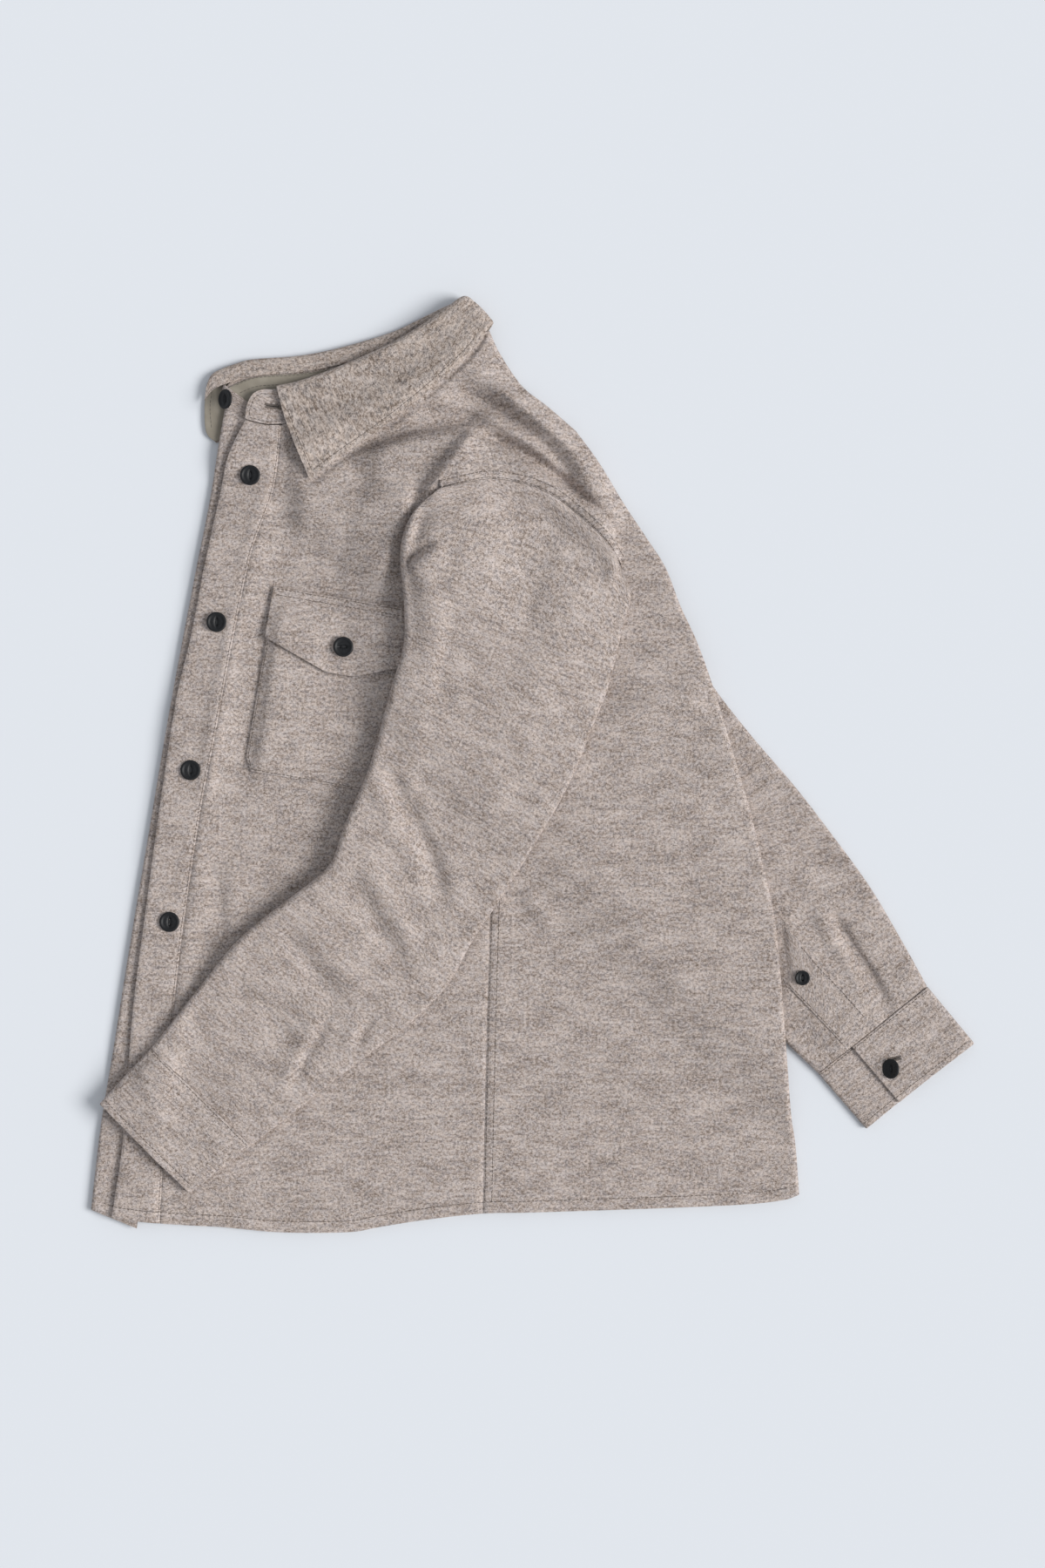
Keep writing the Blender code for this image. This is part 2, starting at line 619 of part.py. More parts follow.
def make_collar():
    near = leaf_half(NEAR_ROLL, NEAR_LEAF_EDGE, [NEAR_ROLL[0], (-197, 271), NEAR_LEAF_EDGE[0]],
                     [NEAR_ROLL[-1], (-42, 367), NEAR_LEAF_EDGE[-1]], 12)
    far = leaf_half(FAR_ROLL, FAR_LEAF_EDGE, [FAR_ROLL[0], (-261, 280), FAR_LEAF_EDGE[0]],
                    [FAR_ROLL[-1], (-42, 367), FAR_LEAF_EDGE[-1]], 12)
    stack = 2 * COLLAR_WALL + LINING_WALL + 2 * SEAM
    resting = body_top(near) + stack - COLLAR_WALL + CLEAR
    near_top = resting + (LEAF_CREST - resting) * smooth(np.linspace(0, 1, LEAF_ROWS) ** 1.5)
    inset = LEAF_CREST / 2

    def section(leaf, height, band_height, drop):
        outer = with_height(leaf, height)
        band = inner_band(leaf)
        band = with_height(band, np.full(band.shape[:2], band_height))
        if drop > 0:
            return np.concatenate([outer, turn(outer, band, 3), band[:, ::-1]], axis=1)
        roll = turn(band, outer, 3)[:, ::-1]
        return np.concatenate([outer, roll, band[:, ::-1]], axis=1)

    near_strip = section(near, near_top, NEAR_BAND, 1)
    far_strip = section(far, np.zeros(far.shape[:2]), FAR_BAND, -1)
    grid_object("collar_leaf", across_fold(near_strip, far_strip, 4, inset), wool, COLLAR_WALL)

    below = COLLAR_WALL + SEAM
    keep = np.linspace(0.03, 0.88, LEAF_ROWS)
    rows = np.arange(LEAF_ROWS) / (LEAF_ROWS - 1)

    def lining(leaf, height):
        leaf = np.stack([[np.interp(keep, rows, line[:, i]) for i in (0, 1)] for line in leaf])
        return with_height(leaf.transpose(0, 2, 1), height)

    near_height = np.stack([np.interp(keep, rows, line) for line in near_top]) - below
    near_lining = lining(near, near_height)[1:]
    far_lining = lining(far, np.full(far.shape[:2], below))
    strip = across_fold(near_lining, far_lining, 4, inset)
    grid_object("under_collar", strip, greige, LINING_WALL)


def make_stand():
    across = shares(5, STAND_FOOT_GAP, STAND_ROLL_GAP)
    end = Line(NEAR_STAND_END)
    foot = joined(Line(NEAR_STAND_FOOT), Line(NECKLINE))
    roll = joined(Line([(-216, 301), (-211, 303), (-206, 303)]), Line(NEAR_ROLL))
    back = Line([NECKLINE[-1], (-41.2, 365.4), NEAR_ROLL[-1]])
    near = filled(foot, roll, end, back, across, shares(14))
    level = body_top(near)
    height = level + (STAND_TOP - level) * smooth(across / (1 - STAND_ROLL_GAP))
    near = with_height(near, height)

    far_foot = turned_round(Line(FAR_NECKLINE))
    far_roll = turned_round(Line([(-248, 301), (-238, 311), (-226, 318)] + FAR_ROLL[4:]))
    far_end = Line([FAR_NECKLINE[0], (-250, 292), (-248, 301)])
    far = filled(far_foot, far_roll, back, far_end, across, shares(13))
    far = with_height(far, np.full(far.shape[:2], STAND_FOOT))
    inset = LEAF_CREST / 2
    end_foot = Line([(-233, 282), FAR_NECKLINE[0]])
    end_roll = Line([(-226, 297), (-248, 301)])
    tip = filled(end_foot, end_roll, Line([(-233, 282), (-226, 297)]), far_end, across, shares(4))
    tip = with_height(tip, np.full(tip.shape[:2], STAND_TIP))
    far_rows = far.transpose(1, 0, 2).copy()
    tip_rows = tip.transpose(1, 0, 2).copy()
    end_turn = turn(tip_rows, far_rows, 3)[:, ::-1]
    near_rows = near.transpose(1, 0, 2).copy()
    start = far_rows[:, ::-1].copy()
    centre_turn = turn(near_rows, start, 4, np.full(len(across), inset))
    whole = [near_rows, centre_turn, start[:, ::-1], end_turn, tip_rows[:, ::-1]]
    grid_object("collar_stand", np.concatenate(whole, axis=1), wool, COLLAR_WALL)


def make_facing():
    """The smooth inside of the stand, from the neckline to the seam with the turned-in leaf cloth."""
    rows = shares(4, 0.10, 0.0)[:, None, None]

    def half(foot, roll, height):
        foot, roll = foot(shares(13)), roll(shares(13))
        depth = np.linalg.norm(roll - foot, axis=1)[None, :, None]
        plan = foot[None] + (roll - foot)[None] * rows * (1 - (INNER_BAND + 1.5) / depth)
        return with_height(plan, np.full(plan.shape[:2], height))

    near = half(Line(NECKLINE), Line(NEAR_ROLL), NEAR_FACING)
    far = half(Line([(-226, 284)] + FAR_NECKLINE[2:]), Line(FAR_ROLL[3:]), FAR_FACING)
    fold = turn(near, far, 2, np.full(4, LEAF_CREST / 2))
    facing = np.concatenate([near, fold, far[:, ::-1]], axis=1)
    grid_object("stand_facing", facing, greige, LINING_WALL, flip=True)


def make_button(name, x, y, height, radius, lean=0.0, turn_angle=0.0):
    """A turned button with a raised rim and a dished middle."""
    profile = [(0.0, 1.7), (0.5, 1.7), (0.72, 2.6), (0.9, 2.7), (1.0, 1.8), (0.9, 0.0), (0.0, 0.0)]
    mesh = bpy.data.meshes.new(name)
    outline = bmesh.new()
    points = [outline.verts.new((share * radius * MM, 0, up * MM)) for share, up in profile]
    for first, second in zip(points, points[1:]):
        outline.edges.new((first, second))
    bmesh.ops.spin(outline, geom=outline.verts[:] + outline.edges[:], cent=(0, 0, 0), axis=(0, 0, 1),
                   angle=2 * math.pi, steps=12, use_merge=True)
    bmesh.ops.remove_doubles(outline, verts=outline.verts, dist=0.00001)
    bmesh.ops.recalc_face_normals(outline, faces=outline.faces)
    outline.to_mesh(mesh)
    outline.free()
    mesh.shade_smooth()
    mesh.materials.append(horn)
    made = bpy.data.objects.new(name, mesh)
    made.location = (x * MM, (y + PLACE_Y) * MM, height * MM)
    made.rotation_euler = (0, lean, turn_angle)
    parts.objects.link(made)


def resting_height(surface, x, y, radius):
    """Height at which a flat disc clears the cloth under it."""
    turns = np.linspace(0, 2 * math.pi, 12, endpoint=False)
    rim = np.stack([x + radius * np.cos(turns), y + radius * np.sin(turns)], axis=-1)
    return surface(np.vstack([rim, [(x, y)]])).max() + 2 * CLEAR


def make_buttons():
    for name, (x, y) in BUTTONS.items():
        surface = flap_height if name == "button_pocket" else placket_height
        make_button(name, x, y, resting_height(surface, x, y, 0.9 * BUTTON_RADIUS), BUTTON_RADIUS)
    make_button("button_collar", -246, 292, STAND_TIP + 1.4, BUTTON_RADIUS, lean=-0.5)
    make_button("button_sleeve_placket", 217, -173, SLEEVE_STACK + 1.6 + WALL + CLEAR, SMALL_BUTTON_RADIUS)
    make_button("button_cuff_right", 288, -246, 3 * WALL + 1.6 + CLEAR, BUTTON_RADIUS)


def make_material(name, colour, roughness):
    material = bpy.data.materials.new(name)
    material.use_nodes = True
    surface = material.node_tree.nodes["Principled BSDF"]
    surface.inputs["Base Color"].default_value = (*colour, 1)
    surface.inputs["Roughness"].default_value = roughness
    surface.inputs["Metallic"].default_value = 0
    return material


for item in list(bpy.data.objects):
    bpy.data.objects.remove(item)
parts = bpy.data.collections.new("shacket")
bpy.context.scene.collection.children.link(parts)
wool = make_material("wool", (0.38, 0.32, 0.29), 0.95)
greige = make_material("greige_cotton", (0.28, 0.24, 0.20), 0.8)
horn = make_material("navy_button", (0.015, 0.017, 0.02), 0.5)

make_fronts()
make_back()
make_yoke()
make_left_sleeve()
make_left_cuff()
make_right_sleeve()
make_right_cuff()
make_sleeve_placket()
make_pocket()
make_collar()
make_stand()
make_facing()
make_buttons()
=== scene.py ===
"""A wool shacket laid flat on its right side: its cloth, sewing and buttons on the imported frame.

Tables hold millimetres in plan: X to the right, Y up the garment.
"""

import math

import bmesh
import bpy
import numpy as np
from mathutils import Matrix, Vector, noise
from mathutils.bvhtree import BVHTree


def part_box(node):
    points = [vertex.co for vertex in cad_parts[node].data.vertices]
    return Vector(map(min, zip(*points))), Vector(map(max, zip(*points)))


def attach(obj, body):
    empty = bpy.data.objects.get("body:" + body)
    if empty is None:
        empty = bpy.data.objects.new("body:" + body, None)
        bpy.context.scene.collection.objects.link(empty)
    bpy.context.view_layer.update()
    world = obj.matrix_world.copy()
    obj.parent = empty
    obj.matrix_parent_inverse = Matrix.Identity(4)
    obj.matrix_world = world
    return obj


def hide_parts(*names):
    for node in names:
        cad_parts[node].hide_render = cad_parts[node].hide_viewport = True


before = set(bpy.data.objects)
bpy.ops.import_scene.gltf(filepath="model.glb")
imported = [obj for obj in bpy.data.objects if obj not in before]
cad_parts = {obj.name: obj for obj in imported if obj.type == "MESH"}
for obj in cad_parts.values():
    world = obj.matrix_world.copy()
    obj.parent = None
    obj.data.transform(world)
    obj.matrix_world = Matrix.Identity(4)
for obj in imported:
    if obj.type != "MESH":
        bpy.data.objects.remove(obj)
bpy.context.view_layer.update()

MM = 0.001
PLACE_Y = 1.64

# Walls of the cloth, and the room left between layers
WALL = 2.2
LINING_WALL = 1.1
COLLAR_WALL = 1.7
PATCH_WALL = 1.5
SEAM = 0.3
CLEAR = 0.4
LAYER_GAP = 1.6
LEAST_GAP = 1.0
LIFTED_GAP = 1.2
TURNED_GAP = 0.8
POCKET_CLEAR = 0.2
FLAP_CLEAR = 0.3
SLEEVE_CLEAR = 0.8
LEAF_CLEAR = 1.8

# How high the body lies over the right sleeve and over the collar's far half, and its slopes round them
SLEEVE_STACK = 6.4
SLEEVE_RAMP = 50.0
COLLAR_STACK = 3.4
COLLAR_RAMP = 26.0

# Front edge, pocket and flap
BUTTON_STAND = 40.0
PLACKET_RAISE = 0.8
HEM_TURN = 9.0
POCKET_TILT = math.radians(-9.8)
POCKET_TOP = (-145.0, 131.0)
POCKET_HALF = 63.0
POCKET_DEPTH = 150.0
POCKET_CUT = 5.0
FLAP_HALF = 64.5
FLAP_SIDE = 41.5
FLAP_POINT = 61.0
FLAP_BLUNT = 11.0
FLAP_LIFT = 2.4

# Buttons: their radius, how far a face is turned, and how far it leans to the left and stands off its cloth
BUTTON_RADIUS = 8.1
SMALL_BUTTON_RADIUS = 6.0
BUTTON_TURNS = {"button_pocket": math.pi / 2}
BUTTON_LEANS = {"button_collar": (-0.8, 2.2), "button_cuff_right": (-0.7, 2.2)}
# Half a button's section from its middle to the rim and under it: share of the radius, then height
BUTTON_PROFILE = [(0.0, 1.9), (0.12, 1.9), (0.24, 1.9), (0.36, 1.9), (0.48, 1.9), (0.58, 1.9), (0.66, 2.0),
                  (0.72, 2.25), (0.79, 2.55), (0.86, 2.65), (0.93, 2.5), (0.98, 2.15), (1.0, 1.6),
                  (0.98, 0.9), (0.9, 0.35), (0.7, 0.1), (0.0, 0.0)]

# Seams and outline in plan, from the hem up: x, y
FRONT_FOLD = [(-356, -360), (-348, -292), (-338, -231), (-324, -143), (-309, -54), (-292, 46),
              (-272, 152), (-261, 207), (-252, 261), (-248, 284)]
PLACKET_EDGE = [(-339, -366), (-330, -303), (-322, -200), (-310, -106), (-301, -40), (-287, 51),
                (-275, 103), (-264, 160), (-252, 215), (-245, 246), (-231, 276)]
PLACKET_SEAM = [(-300, -371), (-294, -269), (-285, -164), (-268, -45), (-256, 17), (-240, 103),
                (-226, 169), (-209, 217), (-201, 272)]
HEM = [(-356, -360), (-339, -366), (-300, -371), (-250, -374), (-204, -378), (-149, -378), (-124, -374),
       (-86, -368), (-40, -363), (5, -362), (98, -359), (145, -357), (180, -355), (203, -352),
       (215, -348)]
SIDE_SEAM = [(-40, -363), (-37, -227), (-34, -122), (-31, -30), (-29, 53)]
BACK_FOLD = [(215, -348), (212, -308), (208, -281), (204, -228), (200, -175), (194, -121), (176, -42),
             (164, -1), (154, 34), (144, 65), (132, 98), (119, 126), (107, 157), (91, 182), (74, 208),
             (54, 241), (35, 267)]
BACK_PACE = [(0, (215, -348)), (0.64, (158, 20)), (0.70, (150, 48)), (0.78, (136, 88)), (0.86, (112, 145)),
             (1, (35, 267))]
YOKE_FOLD = [(35, 267), (12, 287), (-8, 303), (-26, 329), (-35, 348)]
ARMHOLE_FRONT = [(-29, 53), (-55, 98), (-70, 158), (-75, 219)]
ARMHOLE_BACK = [(-29, 53), (24, 66), (54, 108), (66, 148), (70, 159)]
ARMHOLE_TOP = [(-75, 219), (-53, 224), (-32, 227), (-6, 223), (14, 215), (31, 203), (47, 189), (61, 174),
               (70, 159)]
YOKE_FRONT_SEAM = [(-32, 227), (-32, 244), (-38, 256), (-54, 266), (-74, 270), (-83, 284), (-93, 307)]
YOKE_BACK_SEAM = [(47, 189), (40, 234), (35, 267)]
FAR_SHOULDER = [(-32, 227), (-32, 244), (-38, 256), (-54, 266), (-74, 270), (-86, 290), (-93, 321)]
NECKLINE = [(-201, 272), (-162, 276), (-120, 292), (-93, 307), (-62, 330), (-35, 348)]
FAR_NECKLINE = [(-248, 284), (-233, 282), (-212, 283), (-152, 299), (-116, 312), (-93, 321), (-62, 336),
                (-35, 348)]

# Collar in plan, from the front end to the centre back: x, y
NEAR_ROLL = [(-206, 303), (-187, 307), (-152, 320), (-116, 336), (-92, 350), (-69, 366), (-54, 377)]
NEAR_LEAF_EDGE = [(-179, 227), (-155, 245), (-123, 267), (-88, 294), (-52, 327), (-31, 354)]
FAR_ROLL = [(-262.5, 305), (-258.5, 313), (-249.5, 318), (-239, 321.6), (-226, 325), (-188, 328),
            (-157, 334), (-116, 346), (-92, 357), (-69, 369), (-54, 377)]
FAR_LEAF_EDGE = [(-255, 258), (-215, 268), (-150, 283), (-90, 310), (-50, 335), (-31, 354)]
NEAR_STAND_END = [(-231, 276), (-230, 286), (-225, 296), (-216, 301)]
NEAR_STAND_FOOT = [(-231, 276), (-215, 272), (-201, 272)]
NEAR_LEAF_FRONT = [NEAR_ROLL[0], (-197, 271), NEAR_LEAF_EDGE[0]]
FAR_LEAF_FRONT = [FAR_ROLL[0], (-264.5, 286), (-263, 266), FAR_LEAF_EDGE[0]]
LEAF_BACK = (-42, 367)
FAR_BAND_TOP = [(-250, 316)] + FAR_ROLL[4:]

# Left sleeve, over the body, from the armhole down: near edge x, y, far edge x, y, crown
LEFT_SLEEVE = [
    (-76, 221, 70, 161, 10.0),
    (-96, 202, 79, 136, 14.0),
    (-106, 171, 73, 112, 18.0),
    (-103, 131, 67, 85, 20.0),
    (-103, 95, 60, 58, 20.0),
    (-113, 60, 48, 28, 19.0),
    (-124, 20, 35, -5, 18.0),
    (-133, -9, 21, -33, 17.0),
    (-151, -51, -2, -72, 16.0),
    (-163, -82, -24, -107, 15.0),
    (-190, -105, -48, -143, 14.0),
    (-215, -124, -69, -180, 13.0),
    (-239, -145, -100, -211, 12.0),
    (-261, -172, -136, -238, 11.0),
    (-283, -200, -180, -272, 10.0),
    (-306, -229, -226, -308, 9.0),
]
LEFT_CUFF = [(-306, -229, -226, -308, 9.0), (-326, -250, -250, -327, 8.6), (-348, -274, -276, -346, 8.0)]
CUFF_EDGE = 0.8
# By the left sleeve's share of length: half the height of its near and far sides, and the near side's lift
NEAR_SIDE_HALF = [(0, 4.5), (0.08, 5.2), (0.3, 5.2), (0.72, 4.6), (1, 3.3)]
FAR_SIDE_HALF = [(0, 3.4), (0.08, 3.6), (0.3, 3.4), (1, 2.7)]
NEAR_LIFT = [(0, 0), (0.06, 6), (0.18, 7), (0.3, 6), (0.46, 9), (0.58, 9), (0.8, 5), (1, 1)]
LIFT_REACH = 0.55
# Shares of a sleeve's length over which its upper end and its foot turn to the armhole
TOP_FADE = 0.17
FOOT_FADE = 0.62

# Right sleeve, under the body, from the armhole down: near edge x, y, far edge x, y, crown
RIGHT_SLEEVE = [
    (-76, 221, 70, 161, 6.0),
    (-98, 150, 108, 122, 6.0),
    (-84, 78, 144, 65, 6.0),
    (-30, 8, 176, 23, 6.0),
    (44, -62, 210, -17, 6.0),
    (108, -125, 240, -56, 6.0),
    (162, -181, 272, -100, 6.0),
    (205, -226, 298, -144, 6.3),
    (230, -250, 318, -180, 7.6),
]
RIGHT_CUFF_TOP = [(230, -250), (274, -215), (318, -180)]
RIGHT_CUFF_END = [(269, -295), (312, -260), (356, -226)]
# Shares of the cuff's width where its buttonhole end begins and its button end stops
BUTTONHOLE_END = 0.30
BUTTON_END = 0.44
# The sleeve's rise under its placket: outline, height and slope, and the edge of the back beside it
PATCH_OUTLINE = [(199, -178), (251, -230), (274, -208), (215, -142), (197, -124)]
PATCH_RISE = 1.9
PATCH_RAMP = 14.0
BACK_EDGE = 199.0
# Edges of the sleeve placket
SLIT_LEFT = [(219, -194), (234, -210), (251, -228)]
SLIT_RIGHT = [(215, -144), (231, -163), (251, -184), (272, -208)]

# Collar heights where it lies folded at the centre back
LEAF_ROWS = 44
LEAF_CREST = 18.0
NEAR_BAND = 8.7
FAR_BAND = 7.1
INNER_BAND = 13.5
STAND_TOP = 13.6
STAND_FOOT = 3.4
STAND_TIP = 9.0
STAND_FOOT_GAP = 0.004
STAND_ROLL_GAP = 0.17
NEAR_FACING = 7.9
FAR_FACING = 6.9
# Rows that the leaf spans without dipping, its drop at the edge and the rows it takes, and its weave's turn
LEAF_SPAN = 18
LEAF_DROP = 0.8
LEAF_DROP_ROWS = 3.0
LEAF_TURN = math.radians(26)
# The furrow that the leaf's edge presses into the front: its place beside the edge, depth and spread
LEAF_PRESS = (-1.6, 2.08, 1.9)

# The share of a fold's length over which each of its ends dies away
FOLD_END = 0.25

# Folds of the upper layer: points x, y, then height, spread to the left and to the right of the line
FOLDS = [
    ([(-148, 240), (-125, 249), (-93, 257), (-66, 262), (-49, 264), (-30, 258)], 10.5, 11.0, 21.0),
    ([(-150, 250), (-120, 266), (-94, 274), (-72, 277), (-50, 276), (-36, 268)], -12.0, 11.0, 8.0),
    ([(-168, 262), (-136, 277), (-106, 289), (-80, 300)], 6.0, 13.0, 12.0),
    ([(-50, 268), (-18, 255), (9, 239), (36, 217), (60, 195)], -6.5, 4.5, 4.5),
    ([(-104, 280), (-80, 286), (-54, 288), (-32, 279), (-7, 264), (23, 240), (56, 208)], 8.0, 9.0, 6.5),
    ([(-76, 296), (-52, 292), (-31, 284), (-11, 271), (10, 255), (29, 235), (44, 216)], -15.0, 8.5, 6.5),
    ([(-60, 320), (-38, 306), (-11, 288), (15, 265), (40, 240), (60, 206), (72, 178)], 12.0, 9.0, 15.0),
    ([(64, 190), (75, 165), (81, 140), (86, 118), (86, 96)], -5.0, 11.0, 9.0),
    ([(-106, 236), (-104, 205), (-118, 172), (-132, 140)], 9.0, 11.0, 62.0),
    ([(-188, 252), (-184, 230), (-180, 204), (-182, 176)], 7.0, 66.0, 14.0),
    ([(-202, 262), (-205, 236), (-209, 208), (-214, 180)], -2.6, 14.0, 2.5),
    ([(-232, 130), (-241, 90), (-249, 46), (-257, -4), (-266, -50)], 1.6, 4.0, 9.0),
    ([(-195, 140), (-203, 96), (-210, 46), (-218, -6), (-222, -30)], 6.0, 36.0, 9.0),
    ([(-205, 254), (-219, 205), (-232, 150), (-246, 86), (-262, -8), (-276, -100)], 1.8, 7.0, 7.0),
    ([(-24, -98), (-14, -116), (-4, -130), (10, -142)], -3.6, 6.0, 6.0),
    ([(-6, -98), (6, -116), (20, -128)], 3.0, 8.0, 9.0),
    ([(56, 84), (84, 96), (112, 104), (138, 110)], -2.8, 12.0, 10.0),
    ([(44, 26), (84, 42), (120, 52), (150, 56)], 2.8, 14.0, 12.0),
    ([(34, -4), (74, 8), (116, 14), (156, 10)], -2.8, 13.0, 12.0),
    ([(8, -52), (52, -40), (104, -34), (160, -40)], 2.2, 15.0, 13.0),
    ([(20, -118), (70, -104), (120, -102), (170, -112)], -2.0, 17.0, 15.0),
    ([(-262, -60), (-256, -96), (-250, -128), (-244, -160)], -2.0, 5.0, 6.0),
    ([(-238, -70), (-242, -120), (-240, -176)], 2.2, 10.0, 10.0),
    ([(-40, -214), (10, -222), (60, -218), (120, -226), (190, -222)], -1.8, 16.0, 14.0),
    ([(-150, -330), (-80, -318), (0, -326), (80, -316), (170, -322)], -1.8, 18.0, 16.0),
    ([(-20, -270), (50, -282), (120, -274), (196, -284)], 1.8, 20.0, 18.0),
]

# The sleeve head and the body round it stand up on the bunched cloth of the shoulder
HEAD = [(-50, 260), (-28, 249), (-2, 233), (31, 212), (53, 194), (66, 172), (60, 120), (-60, 120),
        (-86, 190), (-88, 205), (-82, 219), (-70, 235)]
HEAD_HEIGHT = 11.0

# The loft round the shoulder: x, y, spread and height; and the one along the neckline: height and reach
SHOULDER_LOFT = (2.0, 244.0, 56.0, 10.5)
NECK_LOFT = (2.2, 40.0)

# The lowest front button under the left sleeve: x, y, how far it lifts the sleeve and how wide
COVERED_BUTTON = (-303, -250, 4.4, 17.0)

# Folds of the left sleeve's outer layer: points, height and spreads as above
SLEEVE_FOLDS = [
    ([(-122, 8), (-114, -10), (-106, -27), (-88, -64), (-74, -101), (-66, -124)], -5.6, 8.0, 13.0),
    ([(-132, -2), (-122, -24), (-108, -50), (-92, -84), (-84, -112)], 3.4, 10.0, 9.0),
    ([(-156, -78), (-144, -98), (-128, -124), (-108, -158), (-98, -180)], -3.0, 9.0, 10.0),
    ([(-136, -76), (-122, -100), (-108, -128), (-90, -156)], 2.5, 10.0, 10.0),
    ([(-206, -132), (-190, -150), (-170, -178), (-154, -206)], -2.8, 9.0, 9.0),
    ([(-184, -124), (-168, -146), (-146, -176), (-130, -198)], 2.2, 9.0, 9.0),
    ([(-106, 154), (-99, 165), (-89, 171), (-74, 174)], -6.0, 3.8, 3.4),
    ([(-102, 146), (-94, 158), (-83, 165), (-66, 167)], 3.4, 5.0, 9.0),
    ([(-88, 100), (-60, 82), (-28, 76), (10, 80)], -1.4, 13.0, 13.0),
    ([(-100, 48), (-60, 52), (-20, 40), (22, 44)], 1.3, 14.0, 14.0),
    ([(-60, 146), (-20, 130), (24, 134)], -1.2, 14.0, 14.0),
    ([(-30, 10), (-12, -18), (-16, -52)], -1.8, 12.0, 12.0),
    ([(-246, -168), (-222, -190), (-196, -222), (-184, -244)], -1.2, 6.0, 9.0),
    ([(-162, -200), (-172, -219), (-185, -242), (-192, -262)], -2.6, 5.0, 3.0),
    ([(-168, -198), (-180, -218), (-193, -242), (-204, -270)], 2.0, 4.0, 9.0),
    ([(-130, -203), (-135, -216), (-142, -230)], -2.4, 3.5, 4.0),
    ([(-138, -204), (-145, -218), (-152, -232)], 1.8, 5.0, 6.0),
    ([(-102, -212), (-112, -219), (-124, -226)], -1.6, 4.0, 4.0),
]

# Folds of the right sleeve's upper layer
RIGHT_SLEEVE_FOLDS = [
    ([(240, -112), (251, -136), (264, -156), (277, -176), (290, -200)], -5.5, 2.8, 8.0),
    ([(224, -104), (239, -138), (254, -164), (271, -200)], 2.8, 8.0, 5.0),
    ([(196, -60), (226, -74), (256, -84)], -1.4, 10.0, 9.0),
    ([(206, -96), (236, -106), (258, -118)], 1.2, 9.0, 9.0),
]

# Distance from one stitch to the next, a stitch's length and its thread's radius
STITCH = (3.3, 2.3, 0.36)
WHIP = (0.62, 1.5, 0.26)
# Half the width of a buttonhole's slit
LIP = 0.35
STAND_BUTTONHOLE = [(-215.3, 286.9), (-202, 285.4)]
CUFF_BUTTONHOLE = [(286, -239.4), (296.8, -237.2)]

# Floor, sky and camera, in metres
FLOOR_SIZE = 25
FLOOR_DROP = 0.0004
SKY = (0.93, 0.96, 1.0, 1)
SKY_STRENGTH = 0.49
CAMERA_HEIGHT = 2.987
CAMERA_PLACE = (-0.00805, -0.01551)


def travelled(points):
    """The distance along a line of points up to each of them."""
    return np.concatenate([[0], np.cumsum(np.linalg.norm(np.diff(points, axis=0), axis=1))])


def places(points, travel, at):
    """Places on a line of points at given distances along it."""
    return np.stack([np.interp(at, travel, points[:, i]) for i in (0, 1)], axis=-1)


def unit(vectors):
    return vectors / np.linalg.norm(vectors, axis=-1, keepdims=True)


class Line:
    """A smooth line through a few plan points, read by its share of length."""

    def __init__(self, points):
        points = np.array(points, float)
        ends = np.vstack([2 * points[0] - points[1], points, 2 * points[-1] - points[-2]])
        steps = np.linspace(0, 1, 12, endpoint=False)[:, None]
        parts = []
        for a, b, c, d in zip(ends, ends[1:], ends[2:], ends[3:]):
            bend = 2 * a - 5 * b + 4 * c - d + (3 * b - a - 3 * c + d) * steps
            parts.append(b + 0.5 * steps * ((c - a) + steps * bend))
        self.points = np.vstack(parts + [points[-1:]])
        self.travel = travelled(self.points)

    def __call__(self, share):
        return places(self.points, self.travel, np.asarray(share, float) * self.travel[-1])

    def share_near(self, point):
        nearest = np.argmin(np.linalg.norm(self.points - np.array(point, float), axis=1))
        return self.travel[nearest] / self.travel[-1]

    def part(self, start, end):
        """The stretch between the places nearest to two points."""
        first, last = self.share_near(start), self.share_near(end)
        return lambda share: self(first + np.asarray(share, float) * (last - first))


def paced(line, stops):
    """A line walked unevenly, so that it is at each given point at its given share."""
    given = [share for share, _ in stops]
    found = [line.share_near(point) for _, point in stops]
    return lambda share: line(np.interp(share, given, found))


def joined(*lines):
    """One edge made of several lines end to end, with an equal pace along their lengths."""
    sampled = []
    for line in lines:
        points = line(np.linspace(0, 1, 40))
        sampled.append(points if not sampled else points[1:])
    points = np.vstack(sampled)
    travel = travelled(points)
    return lambda share: places(points, travel, np.asarray(share, float) * travel[-1])


def turned_round(line):
    return lambda share: line(1 - np.asarray(share, float))


def filled(left, right, bottom, top, across, along):
    """Plan points of a panel between its four edges, rows along it and columns across it."""
    u = across[None, :, None]
    v = along[:, None, None]
    low, high = bottom(across)[None], top(across)[None]
    low_ends, high_ends = bottom(np.array([0.0, 1.0])), top(np.array([0.0, 1.0]))
    corners = (1 - v) * ((1 - u) * low_ends[0] + u * low_ends[1])
    corners = corners + v * ((1 - u) * high_ends[0] + u * high_ends[1])
    sides = (1 - u) * left(along)[:, None] + u * right(along)[:, None]
    return sides + (1 - v) * low + v * high - corners


